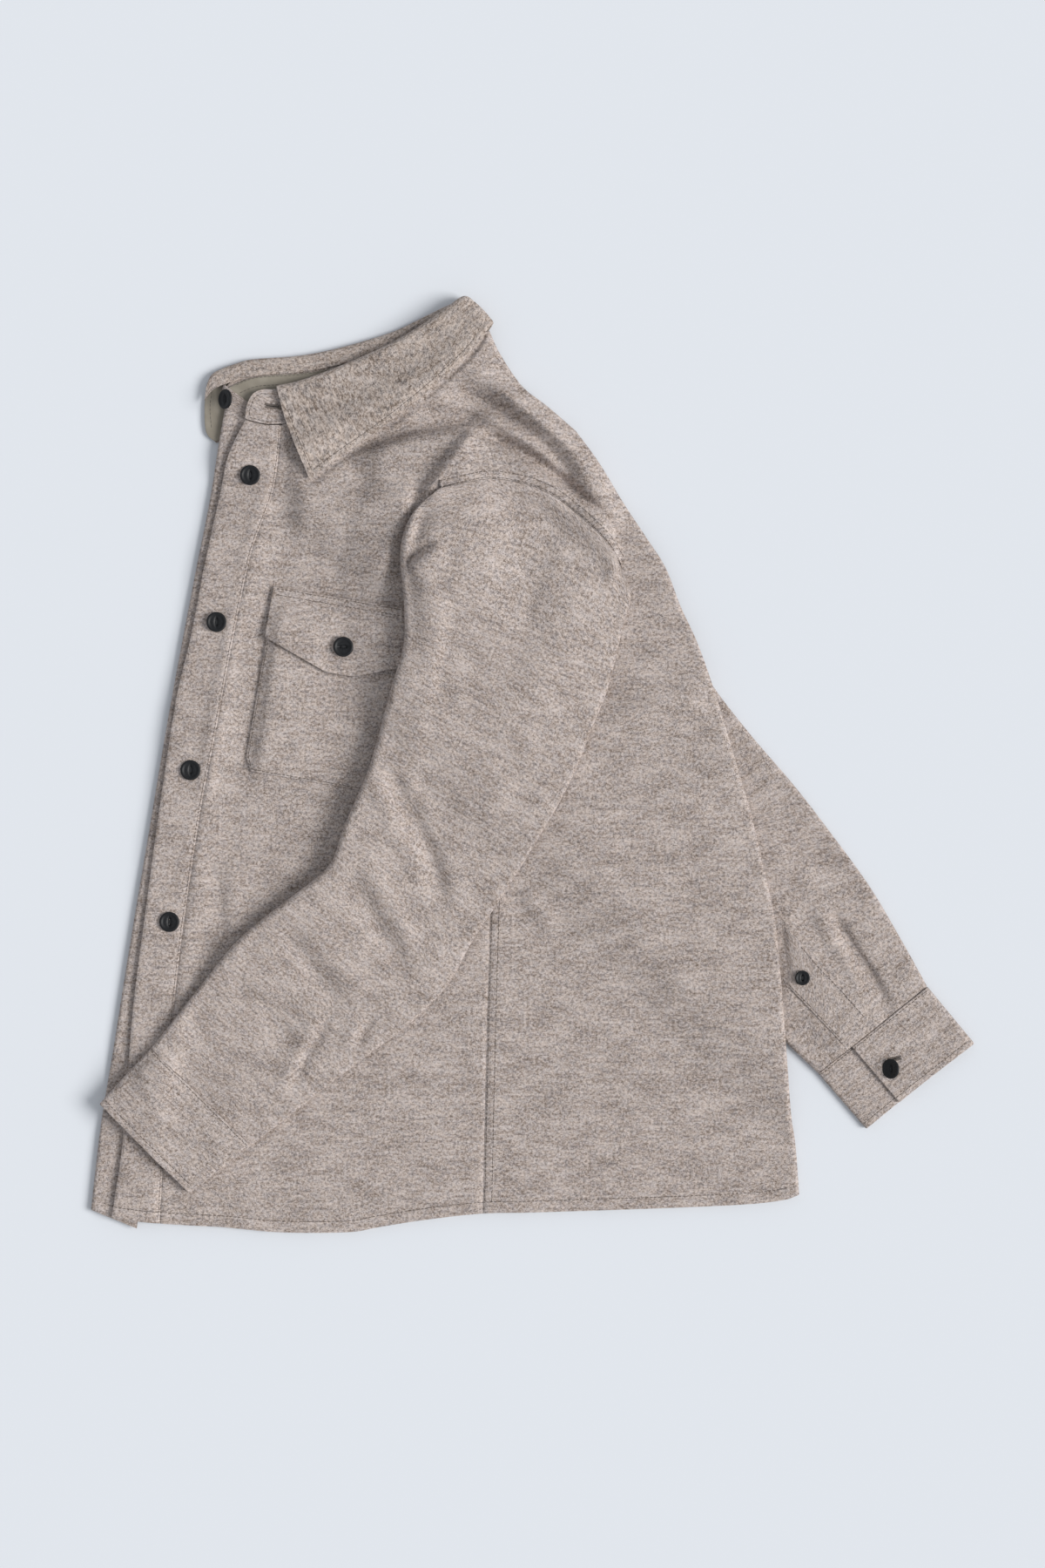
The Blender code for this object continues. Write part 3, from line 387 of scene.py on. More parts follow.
def distance(plan, points):
    """Distance from each plan point to a line, its side of the line, and the share of length there."""
    points = np.asarray(points, float)
    best = np.full(plan.shape[:-1], 1e9)
    side = np.zeros_like(best)
    share = np.zeros_like(best)
    lengths = np.linalg.norm(np.diff(points, axis=0), axis=1)
    travel = np.concatenate([[0], np.cumsum(lengths)])
    for a, b, done, length in zip(points, points[1:], travel, lengths):
        step = (b - a) / length
        along = np.clip((plan - a) @ step, 0, length)
        gap = plan - (a + along[..., None] * step)
        near = np.linalg.norm(gap, axis=-1)
        closer = near < best
        best = np.where(closer, near, best)
        side = np.where(closer, step[0] * gap[..., 1] - step[1] * gap[..., 0], side)
        share = np.where(closer, (done + along) / travel[-1], share)
    return best, side, share


def inside(plan, outline):
    """Whether each plan point lies inside a closed outline."""
    outline = np.asarray(outline, float)
    x, y = plan[..., 0], plan[..., 1]
    found = np.zeros(x.shape, bool)
    for (ax, ay), (bx, by) in zip(outline, np.roll(outline, -1, axis=0)):
        if ay == by:
            continue
        crosses = (ay > y) != (by > y)
        found ^= crosses & (x < ax + (y - ay) * (bx - ax) / (by - ay))
    return found


def smooth(share):
    share = np.clip(share, 0, 1)
    return share * share * (3 - 2 * share)


def pad(plan, outline, height, ramp, margin=0.0):
    """Height over a flat thing that lies under the cloth, easing off over a ramp round it."""
    closed = np.vstack([outline, outline[:1]])
    away = np.where(inside(plan, outline), 0, distance(plan, closed)[0])
    return height * smooth(1 - (away - margin) / ramp)


def fold_height(plan, row):
    points, height, left, right = row
    away, side, share = distance(plan, Line(points).points[::4])
    spread = np.where(side > 0, left, right)
    ends = smooth(share / FOLD_END) * smooth((1 - share) / FOLD_END)
    return height * np.exp(-((away / spread) ** 2)) * ends


def armhole_foot():
    return joined(turned_round(Line(ARMHOLE_FRONT)), Line(ARMHOLE_BACK))


def sleeve_shadow():
    """Outline of the right sleeve where the body lies on it."""
    rows = np.array(RIGHT_SLEEVE, float)
    foot = armhole_foot()(np.linspace(0, 1, 24))
    return np.vstack([foot, rows[1:, 2:4], rows[:0:-1, 0:2]])


def far_leaf_shadow():
    roll, edge = Line(FAR_ROLL), Line(FAR_LEAF_EDGE)
    shares = np.linspace(0, 1, 24)
    return np.vstack([roll(shares), edge(shares[::-1])])


def body_under(plan):
    """Underside of the lower layer."""
    over_sleeve = pad(plan, sleeve_shadow(), SLEEVE_STACK, SLEEVE_RAMP, 16)
    over_leaf = pad(plan, far_leaf_shadow(), COLLAR_STACK, COLLAR_RAMP, 8)
    return np.maximum(over_sleeve, over_leaf)


def placket_rise(plan):
    edge = Line(FRONT_FOLD).points[::4]
    away = distance(plan, edge)[0]
    return (WALL + CLEAR) * smooth((BUTTON_STAND + 26 - away) / 20)


def body_flat(plan):
    """Outer side of the upper layer, had it no folds."""
    under = body_under(plan)
    return under + 2 * WALL + LAYER_GAP + LIFTED_GAP * smooth(under / 1.5) + placket_rise(plan)


def head_rise(plan):
    """Height of the bunched shoulder, which ends a little way under the sleeve."""
    away, side, _ = distance(plan, Line(ARMHOLE_TOP).points[::3])
    return pad(plan, HEAD, HEAD_HEIGHT, 8.5) * smooth(1 - np.where(side < 0, away, 0) / 30)


def settled(height, least):
    """The greater of two heights, with a soft bend between them."""
    gap = height - least
    return least + (gap + np.sqrt(gap * gap + 1.2)) / 2


def body_top(plan):
    """Outer side of the upper layer."""
    x, y, spread, loft = SHOULDER_LOFT
    rise = loft * np.exp(-((plan[..., 0] - x) ** 2 + (plan[..., 1] - y) ** 2) / spread**2)
    neck_loft, neck_reach = NECK_LOFT
    neck = neck_loft * smooth(1 - distance(plan, Line(NECKLINE).points[::4])[0] / neck_reach)
    head = head_rise(plan)
    folds = sum(fold_height(plan, row) for row in FOLDS)
    slow = uneven(plan, 46.0, 1.1) + uneven(plan, 17.0, 0.45, 5.0)
    beside, depth, spread = LEAF_PRESS
    pressed = groove(plan, offset_line(Line(NEAR_LEAF_EDGE), beside, count=40), depth, spread)
    return body_flat(plan) + settled(rise + neck + head + folds + slow, LEAST_GAP - LAYER_GAP) + pressed


def pocket_point(across, down):
    """Plan point in the pocket's own directions: along its top edge and down from it."""
    turn_x, turn_y = math.cos(POCKET_TILT), math.sin(POCKET_TILT)
    x = POCKET_TOP[0] + across * turn_x + down * turn_y
    y = POCKET_TOP[1] + across * turn_y - down * turn_x
    return np.stack([x, y], axis=-1)


def pocket_outline(half, depth):
    across = np.array([-half, half, half, -half], float)
    down = np.array([0, 0, depth, depth], float)
    return pocket_point(across, down)


def pocket_rise(plan):
    """Height of the pocket and its flap over the front."""
    pocket = pad(plan, pocket_outline(POCKET_HALF, POCKET_DEPTH), PATCH_WALL + POCKET_CLEAR, 12, 8)
    flap = pad(plan, pocket_outline(FLAP_HALF, FLAP_POINT), PATCH_WALL + CLEAR, 12, 8)
    return pocket + flap


def sleeve_rise(plan):
    """How far the pocket and the lowest front button lift the left sleeve off the body."""
    x, y, height, spread = COVERED_BUTTON
    knob = height * np.exp(-(((plan[..., 0] - x) ** 2 + (plan[..., 1] - y) ** 2) / spread**2) ** 2)
    return pocket_rise(plan) + knob + SLEEVE_CLEAR


def uneven(plan, size, height, seed=0.0):
    """Soft unevenness of laid cloth: a slow wave of a size and a height, in millimetres."""
    flat = plan.reshape(-1, 2) / size
    waves = [noise.noise(Vector((x, y, seed))) for x, y in flat]
    return height * np.reshape(waves, plan.shape[:-1])


def groove(plan, line, depth, spread):
    """A narrow furrow along a line of plan points."""
    away = distance(plan, line)[0]
    return -depth * np.exp(-((away / spread) ** 2))


def grain_of(points):
    """Distances along the rows and along the columns of a sheet, in metres."""
    steps = np.linalg.norm(np.diff(points, axis=1), axis=2)
    along_row = np.concatenate([np.zeros((len(points), 1)), np.cumsum(steps, axis=1)], axis=1)
    steps = np.linalg.norm(np.diff(points, axis=0), axis=2)
    down_column = np.concatenate([np.zeros((1, points.shape[1])), np.cumsum(steps, axis=0)])
    middle = points.shape[1] // 2
    along_row = along_row - along_row[:, middle:middle + 1]
    down_row = np.broadcast_to(down_column[:, middle:middle + 1], along_row.shape)
    return np.stack([along_row, down_row], axis=-1) * MM


def level_grain(points):
    """The weave of a panel that lies with its weft across the garment."""
    return points[..., :2] * MM


def in_scene(name, data):
    """A new object, put in the scene."""
    made = bpy.data.objects.new(name, data)
    bpy.context.scene.collection.objects.link(made)
    return made


def mesh_of(name, shape, *materials):
    """A smooth mesh of a finished shape."""
    mesh = bpy.data.meshes.new(name)
    shape.to_mesh(mesh)
    shape.free()
    mesh.shade_smooth()
    for material in materials:
        mesh.materials.append(material)
    return mesh


def cloth(name, points, material, wall, grain=level_grain, flip=False, closed=False, edge=0.75, seams=()):
    """A sheet through rows of points, in millimetres, thickened inwards into a wall with soft edges.

    Sides in seams are sewn to a neighbour: "left" and "right" of the columns, "start" and "end" of the rows.
    """
    rows, columns = points.shape[:2]
    mesh = bpy.data.meshes.new(name)
    sheet = bmesh.new()
    bmesh.ops.create_grid(sheet, x_segments=columns - 1, y_segments=rows - 1, size=0.5)
    if flip:
        bmesh.ops.reverse_faces(sheet, faces=sheet.faces)
    sheet.to_mesh(mesh)
    sheet.free()
    flat = np.zeros(len(mesh.vertices) * 3)
    mesh.vertices.foreach_get("co", flat)
    flat = flat.reshape(-1, 3)
    column = np.rint((flat[:, 0] + 0.5) * (columns - 1)).astype(int)
    row = np.rint((flat[:, 1] + 0.5) * (rows - 1)).astype(int)
    placed = points[row, column] + (0, PLACE_Y, 0)
    mesh.vertices.foreach_set("co", (placed * MM).ravel())
    corner = np.zeros(len(mesh.loops), int)
    mesh.loops.foreach_get("vertex_index", corner)
    weave = mesh.uv_layers.new(name="weave")
    weave.data.foreach_set("uv", grain(points)[row[corner], column[corner]].ravel())
    ends = np.zeros(len(mesh.edges) * 2, int)
    mesh.edges.foreach_get("vertices", ends)
    ends = ends.reshape(-1, 2)
    softness = np.zeros(len(ends))
    sides = {"start": (row, 0), "end": (row, rows - 1)}
    if not closed:
        sides.update({"left": (column, 0), "right": (column, columns - 1)})
    for side, (index, value) in sides.items():
        softness[(index[ends] == value).all(axis=1)] = 0.2 if side in seams else 1.0
    mesh.attributes.new("bevel_weight_edge", "FLOAT", "EDGE").data.foreach_set("value", softness)
    if closed:
        tube = bmesh.new()
        tube.from_mesh(mesh)
        bmesh.ops.remove_doubles(tube, verts=tube.verts, dist=0.00002)
        tube.to_mesh(mesh)
        tube.free()
    mesh.shade_smooth()
    mesh.materials.append(material)
    made = in_scene(name, mesh)
    thick = made.modifiers.new("wall", "SOLIDIFY")
    thick.thickness = wall * MM
    thick.offset = -1
    round_edge = made.modifiers.new("soft edge", "BEVEL")
    round_edge.limit_method = "WEIGHT"
    round_edge.width = edge * MM
    round_edge.segments = 3
    return made


def with_height(plan, height):
    return np.concatenate([plan, np.asarray(height)[..., None]], axis=-1)


def level(plan, height):
    """Plan points all at one height."""
    return with_height(plan, np.full(plan.shape[:2], height))


def turn(upper, lower, turns, centre_inset=None):
    """Points round a fold: both layers are drawn in to leave room, and the fold is rounded between them."""
    half = (upper[:, -1, 2] - lower[:, -1, 2]) / 2
    middle = (upper[:, -1, 2] + lower[:, -1, 2]) / 2
    outward = unit(upper[:, -1, :2] - upper[:, -4, :2])
    inset = half if centre_inset is None else np.full_like(half, centre_inset)
    centre = upper[:, -1, :2] - outward * inset[:, None]
    reach = 5 * np.maximum(np.abs(inset), 0.5)[:, None]
    for layer in (upper, lower):
        away = np.linalg.norm(layer[:, :, :2] - layer[:, -1:, :2], axis=2)
        pull = inset[:, None] * np.clip(1 - away / reach, 0, 1) ** 2
        layer[:, :, :2] -= outward[:, None] * pull[..., None]
        layer[:, -1, :2] = centre
    columns = []
    for angle in np.linspace(0, math.pi, turns + 2)[1:-1]:
        plan = centre + outward * (half * math.sin(angle))[:, None]
        columns.append(with_height(plan, middle + half * math.cos(angle)))
    return np.stack(columns, axis=1)


def folded_over(upper, lower, turns=7, centre_inset=None):
    """One sheet from an upper layer, round a fold and back along the lower layer."""
    fold = turn(upper, lower, turns, centre_inset)
    return np.concatenate([upper, fold, lower[:, ::-1]], axis=1)


def shares(count, start_gap=0.0, end_gap=0.0):
    return np.linspace(start_gap, 1 - end_gap, count)


def offset_line(line, distance_in, start=0.0, end=1.0, count=160):
    """Points beside a line, to its left, at an even distance."""
    points = line(np.linspace(start, end, count))
    ahead = unit(np.gradient(points, axis=0))
    return points + distance_in * np.stack([-ahead[:, 1], ahead[:, 0]], axis=1)


def placket_height(plan):
    from_seam = distance(plan, Line(PLACKET_SEAM).points[::4])[0]
    return body_top(plan) + PLACKET_RAISE * smooth(from_seam / 8)


def hem_dip(plan):
    """The furrow that the hem's stitches draw."""
    return groove(plan, offset_line(Line(HEM), HEM_TURN), 0.6, 2.2)


def seam_dip(plan, seam, depth=1.0, spread=1.7):
    """A furrow where two panels are sewn together."""
    return groove(plan, Line(seam).points[::3], depth, spread)


def front_side():
    """The side of a front, from the hem up its side seam and round the armhole."""
    armhole = joined(Line(ARMHOLE_FRONT), Line(ARMHOLE_TOP).part((-75, 219), (-32, 227)))
    return joined(Line(SIDE_SEAM), armhole)


def make_left_front():
    top_edge = joined(Line(NECKLINE).part((-201, 272), (-93, 307)), turned_round(Line(YOKE_FRONT_SEAM)))
    hem = Line(HEM).part((-300, -371), (-40, -363))
    along = shares(226, 0.0, 0.0002) ** 0.9
    plan = filled(Line(PLACKET_SEAM), front_side(), hem, top_edge, shares(106, 0.0002, 0.0002), along)
    height = body_top(plan) + seam_dip(plan, PLACKET_SEAM) + seam_dip(plan, SIDE_SEAM) + hem_dip(plan)
    height = height + seam_dip(plan, ARMHOLE_TOP) + seam_dip(plan, YOKE_FRONT_SEAM, 0.3)
    return cloth("left_front_cloth", with_height(plan, height), wool, WALL, seams=("left", "right", "end"))


def make_placket():
    strip_top = Line(NEAR_STAND_FOOT)
    strip_hem = Line(HEM).part((-339, -366), (-300, -371))
    along = shares(230, 0.0, 0.0014) ** 0.9
    across = np.concatenate([[0, 0.02, 0.05, 0.09], np.linspace(0.15, 0.998, 15)])
    plan = filled(Line(PLACKET_EDGE), Line(PLACKET_SEAM), strip_hem, strip_top, across, along)
    height = placket_height(plan) + seam_dip(plan, PLACKET_SEAM) + hem_dip(plan)
    height = height - 0.9 * (1 - smooth(across / 0.10)) ** 2
    return cloth("left_front_placket_cloth", with_height(plan, height), wool, WALL, seams=("right", "end"))


def make_right_front():
    far_top = joined(Line(FAR_NECKLINE).part((-248, 284), (-93, 321)), Line(FAR_SHOULDER[::-1]))
    far_hem = Line(HEM).part((-356, -360), (-40, -363))
    along = shares(180, 0.0, 0.0006)
    under = filled(Line(FRONT_FOLD), front_side(), far_hem, far_top, shares(80, 0, 0.0012), along)
    edge = Line(FRONT_FOLD)(along)
    inward = unit(under[:, 3] - edge)
    stand = edge[:, None] + inward[:, None] * np.linspace(BUTTON_STAND, 0, 14)[None, :, None]
    folded = with_height(stand, body_under(stand) + 2 * WALL + TURNED_GAP)
    flat = with_height(under, body_under(under))[:, ::-1]
    return cloth("right_front_cloth", folded_over(folded, flat), wool, WALL, flip=True)


def make_back():
    armhole = joined(Line(ARMHOLE_BACK), turned_round(Line(ARMHOLE_TOP).part((47, 189), (70, 159))))
    side = joined(Line(SIDE_SEAM), armhole)
    hem = Line(HEM).part((-40, -363), (215, -348))
    along = shares(200, 0.0, 0.0002)
    fold_line = paced(Line(BACK_FOLD), BACK_PACE)
    plan = filled(side, fold_line, hem, Line(YOKE_BACK_SEAM), shares(84, 0.0002, 0), along)
    height = body_top(plan) + seam_dip(plan, SIDE_SEAM) + hem_dip(plan) + seam_dip(plan, ARMHOLE_TOP)
    points = folded_over(with_height(plan, height), with_height(plan, body_under(plan)))
    return cloth("back_cloth", points, wool, WALL, seams=("left", "right", "end"))


def make_yoke():
    armhole = turned_round(Line(ARMHOLE_TOP).part((-32, 227), (47, 189)))
    left = joined(armhole, Line(YOKE_FRONT_SEAM))
    far_left = joined(armhole, Line(FAR_SHOULDER))
    along = shares(96, 0.0004, 0.0)
    across = shares(76, 0.0004, 0)
    near_neck = Line(NECKLINE).part((-93, 307), (-35, 348))
    far_neck = Line(FAR_NECKLINE).part((-93, 321), (-35, 348))
    fold_line = Line(YOKE_FOLD)
    near = filled(left, fold_line, Line(YOKE_BACK_SEAM), near_neck, across, along)
    far = filled(far_left, fold_line, Line(YOKE_BACK_SEAM), far_neck, across, along)
    height = body_top(near) + seam_dip(near, ARMHOLE_TOP) + seam_dip(near, YOKE_FRONT_SEAM, 0.3)
    points = folded_over(with_height(near, height), with_height(far, body_under(far)))
    return cloth("yoke_cloth", points, wool, WALL, seams=("left", "right", "start"))


def sleeve_sections(table, rows):
    """The table's edges and crowns at evenly spaced places along the sleeve."""
    table = np.array(table, float)
    near, far = Line(table[:, 0:2]), Line(table[:, 2:4])
    along = shares(rows)
    crown = np.interp(along, np.linspace(0, 1, len(table)), table[:, 4])
    return near(along), far(along), crown, along


def sleeve_layers(near, far, along, across):
    """Plan points of a sleeve's two layers: one starts at the armhole's top, the other at its foot."""
    share = shares(across)
    flat = near[:, None] * (1 - share)[None, :, None] + far[:, None] * share[None, :, None]
    chord = flat[0]
    to_top = Line(ARMHOLE_TOP)(share) - chord
    to_foot = armhole_foot()(share) - chord
    top_fade = 1 - smooth(along / TOP_FADE)
    foot_fade = np.clip(1 - along / FOOT_FADE, 0, 1)
    outer = flat + top_fade[:, None, None] * to_top
    inner = flat + foot_fade[:, None, None] * to_foot
    return outer, inner


def bulge(across):
    return np.sin(math.pi * shares(across)) ** 0.6


def ring(upper, lower, turns=7):
    """A closed ring from an upper and a lower layer that meet at both sides."""
    far = turn(upper, lower, turns)
    back_upper, back_lower = upper[:, ::-1].copy(), lower[:, ::-1].copy()
    near = turn(back_upper, back_lower, turns)
    upper, lower = back_upper[:, ::-1], back_lower[:, ::-1]
    whole = [upper, far, lower[:, ::-1], near[:, ::-1], upper[:, :1]]
    return np.concatenate(whole, axis=1)


def make_left_sleeve():
    near, far, crown, along = sleeve_sections(LEFT_SLEEVE, 220)
    across = 62
    outer, inner = sleeve_layers(near, far, along, across)
    settle = smooth(along / 0.10)[:, None]
    outer[..., 1] -= 0.12 * (1 - settle)
    share = shares(across)
    near_half, far_half, lift = [np.interp(along, *zip(*table))[:, None]
                                 for table in (NEAR_SIDE_HALF, FAR_SIDE_HALF, NEAR_LIFT)]
    lift = lift * smooth(1 - share / LIFT_REACH)
    half = near_half + (far_half - near_half) * share
    half = np.minimum(half, crown[:, None] / 2)
    low = body_top(inner) + sleeve_rise(inner) + lift
    crowned = 0.42 * (crown[:, None] - 2 * half) * np.sin(math.pi * share) ** 0.9
    head = HEAD_HEIGHT * smooth(1 - along / 0.36)[:, None]
    head = head * smooth(share / 0.14) * smooth((1 - share) / 0.42)
    high = body_flat(outer) + sleeve_rise(outer) + 2 * half + crowned + head
    high = settled(high, body_top(outer) + sleeve_rise(outer) + 2 * half) + lift
    end_rise = 1 - smooth(np.minimum(share, 1 - share) / 0.2)
    flush = body_top(outer) + seam_dip(outer, ARMHOLE_TOP) + 4.0 * end_rise
    high = flush * (1 - settle) + high * settle
    high = high + settle * sum(fold_height(outer, row) for row in SLEEVE_FOLDS)
    high = high + settle * (uneven(outer, 40.0, 0.9, 2.0) + uneven(outer, 15.0, 0.4, 7.0))
    sleeve = ring(with_height(outer, high), with_height(inner, low))
    return cloth("left_sleeve_cloth", sleeve, wool, WALL, grain_of, True, True, seams=("start", "end"))


def make_left_cuff():
    near, far, crown, _ = sleeve_sections(LEFT_CUFF, 26)
    step = unit(near[1] - near[0]) * 0.1
    near[0] += step
    far[0] += step
    columns = 56
    share = shares(columns)[None, :, None]
    plan = near[:, None] * (1 - share) + far[:, None] * share
    half = crown[:, None] / 2 * CUFF_EDGE
    low = body_top(plan) + sleeve_rise(plan)
    high = low + 2 * half + (crown[:, None] - 2 * half) * bulge(columns)
    cuff = ring(with_height(plan, high), with_height(plan, low))
    return cloth("left_cuff_cloth", cuff, wool, WALL, grain_of, True, True, seams=("start",))


def patch_rise(plan):
    """The sleeve's slight rise under its placket, out from the edge of the back."""
    return pad(plan, PATCH_OUTLINE, PATCH_RISE, PATCH_RAMP) * smooth((plan[..., 0] - BACK_EDGE) / 8)


def make_right_sleeve():
    near, far, crown, along = sleeve_sections(RIGHT_SLEEVE, 150)
    across = 52
    outer, inner = sleeve_layers(near, far, along, across)
    outer[..., 1] -= 1.6 * (1 - smooth(along / 0.10))[:, None]
    clear = SLEEVE_STACK - CLEAR
    high = clear + np.maximum(crown - clear, 0)[:, None] * bulge(across)
    folds = sum(fold_height(inner, row) for row in RIGHT_SLEEVE_FOLDS) + uneven(inner, 36.0, 0.7, 3.0)
    high = high + folds * smooth(along / 0.4)[:, None] + patch_rise(inner)
    low = 1.6 * (1 - smooth(along / 0.12))[:, None] + np.zeros(outer.shape[:2])
    sleeve = ring(with_height(inner, high), with_height(outer, low))
    return cloth("right_sleeve_cloth", sleeve, wool, WALL, grain_of, True, True)


def make_right_cuff():
    """One band round the wrist whose buttonhole end lies over its button end."""
    top, end = Line(RIGHT_CUFF_TOP), Line(RIGHT_CUFF_END)
    down = shares(28, 0.006, 0)[:, None, None]

    def layer(share, height):
        return level(top(share)[None] * (1 - down) + end(share)[None] * down, height)

    share = shares(50)
    lower = layer(share, 0.0)
    upper = layer(share[share >= BUTTONHOLE_END], 3 * WALL + 2 * TURNED_GAP)
    far = turn(upper, lower, 7)
    under = layer(shares(24)[::-1] * BUTTON_END, 2 * WALL + TURNED_GAP)
    low_end = lower[:, ::-1].copy()
    near = turn(under, low_end, 7)
    lower = low_end[:, ::-1]
    whole = [upper, far, lower[:, ::-1], near[:, ::-1], under[:, ::-1]]
    return cloth("right_cuff_cloth", np.concatenate(whole, axis=1), wool, WALL, grain_of, flip=True)


def make_sleeve_placket():
    left = Line([(201.5, -176)] + SLIT_LEFT)
    right = Line([(197, -126)] + SLIT_RIGHT)
    head = Line([(201.5, -176), (199.5, -150), (197, -126)])
    foot = Line([(251, -228), (262, -218), (272, -208)])
    plan = filled(left, right, head, foot, shares(16), shares(40, 0.03, 0.02))
    height = SLEEVE_STACK + patch_rise(plan) + PATCH_WALL
    height = height - 2.1 * smooth(1 - np.linspace(0, 1, len(plan)) / 0.16)[:, None]
    placket = with_height(plan, height)
    return cloth("right_sleeve_placket_cloth", placket, wool, PATCH_WALL, grain_of, flip=True)


def make_pocket():
    across = np.linspace(-POCKET_HALF, POCKET_HALF, 52)[None, :]
    down = np.linspace(2, POCKET_DEPTH, 60)[:, None]
    cut = POCKET_CUT * smooth((down - POCKET_DEPTH + 12) / 12)
    plan = pocket_point(across * (1 - cut / POCKET_HALF), down + np.zeros_like(across))
    height = body_top(plan) + POCKET_CLEAR + PATCH_WALL
    return cloth("left_chest_pocket_cloth", with_height(plan, height), wool, PATCH_WALL, flip=True)


def make_flap():
    share = np.linspace(-1, 1, 53)
    reach = np.interp(np.abs(share) * FLAP_HALF, [FLAP_BLUNT, FLAP_HALF], [FLAP_POINT, FLAP_SIDE])
    row = shares(26)[:, None]
    down = row * reach[None]
    plan = pocket_point(np.broadcast_to(share * FLAP_HALF, down.shape), down)
    over_pocket = PATCH_WALL + POCKET_CLEAR
    height = body_top(plan) + over_pocket + FLAP_CLEAR + PATCH_WALL + FLAP_LIFT * row**2
    return cloth("left_pocket_flap_cloth", with_height(plan, height), wool, PATCH_WALL, flip=True)


def collar_grain(points):
    """The weave of the leaf, with its weft along the roll."""
    along = points[..., 0] * math.cos(LEAF_TURN) + points[..., 1] * math.sin(LEAF_TURN)
    return np.stack([along * MM, grain_of(points)[..., 1]], axis=-1)


def bridged(height, reach):
    """The height of a stiff layer, which spans the valleys under it along its length."""
    for blend in (np.max, np.mean):
        padded = np.pad(height, ((reach, reach), (0, 0)), mode="edge")
        height = blend([padded[i:i + len(height)] for i in range(2 * reach + 1)], axis=0)
    return height


def leaf_half(roll, edge, front):
    """Plan points of half the leaf, from the front end to the centre back and from its edge to the roll."""
    back = Line([roll[-1], LEAF_BACK, edge[-1]])
    return filled(Line(roll), Line(edge), Line(front), back, shares(LEAF_ROWS), shares(90))[:, ::-1]


def across_fold(near, far, turns, inset):
    """A strip that runs along the near half, round the centre back, and out along the far half."""
    near, far = near.transpose(1, 0, 2).copy(), far.transpose(1, 0, 2).copy()
    return folded_over(near, far, turns, np.full(len(near), inset))


def inner_band(leaf):
    """Plan points of the leaf cloth turned in over the stand, from its seam to the roll."""
    inward = unit(leaf[:, -8] - leaf[:, -1])
    return leaf[:, -1:] + inward[:, None] * np.linspace(1, 0, 9)[None, :, None] * INNER_BAND


def near_leaf():
    """Plan points and heights of the leaf's near half, resting on the front and rising to the roll."""
    near = leaf_half(NEAR_ROLL, NEAR_LEAF_EDGE, NEAR_LEAF_FRONT)
    stack = COLLAR_WALL + LINING_WALL + 2 * SEAM
    resting = bridged(body_top(near), LEAF_SPAN) + stack + LEAF_CLEAR
    crest = np.maximum(LEAF_CREST, resting[:, -1:])
    near_top = resting + (crest - resting) * smooth(np.linspace(0, 1, LEAF_ROWS) ** 1.5)
    near_top = near_top - LEAF_DROP * smooth(1 - np.arange(LEAF_ROWS) / LEAF_DROP_ROWS)
    return near, near_top


def leaf_section(leaf, height, band_height, side):
    """One half of the leaf, with its cloth turned in over the stand."""
    outer = with_height(leaf, height)
    band = level(inner_band(leaf), band_height)
    if side == "near":
        return folded_over(outer, band)
    roll = turn(band, outer, 7)[:, ::-1]
    return np.concatenate([outer, roll, band[:, ::-1]], axis=1)


def make_collar_leaf():
    near, near_top = near_leaf()
    far = leaf_half(FAR_ROLL, FAR_LEAF_EDGE, FAR_LEAF_FRONT)
    near_top = near_top + groove(near, offset_line(Line(NEAR_LEAF_EDGE), 5.0), 0.6, 2.0)
    near_strip = leaf_section(near, near_top, NEAR_BAND, "near")
    far_strip = leaf_section(far, np.zeros(far.shape[:2]), FAR_BAND, "far")
    strip = across_fold(near_strip, far_strip, 9, LEAF_CREST / 2)
    return cloth("collar_leaf_cloth", strip, collar_wool, COLLAR_WALL, collar_grain)


def make_under_collar():
    near, near_top = near_leaf()
    far = leaf_half(FAR_ROLL, FAR_LEAF_EDGE, FAR_LEAF_FRONT)
    below = COLLAR_WALL + SEAM
    keep = np.linspace(0.03, 0.88, LEAF_ROWS)
    rows = np.arange(LEAF_ROWS) / (LEAF_ROWS - 1)

    def lining(leaf, height):
        leaf = np.stack([[np.interp(keep, rows, line[:, i]) for i in (0, 1)] for line in leaf])
        return with_height(leaf.transpose(0, 2, 1), height)

    near_height = np.stack([np.interp(keep, rows, line) for line in near_top]) - below
    near_lining = lining(near, near_height)[1:]
    far_lining = lining(far, np.full(far.shape[:2], below))
    strip = across_fold(near_lining, far_lining, 9, LEAF_CREST / 2)
    return cloth("under_collar_cloth", strip, greige, LINING_WALL, grain_of, edge=0.3)


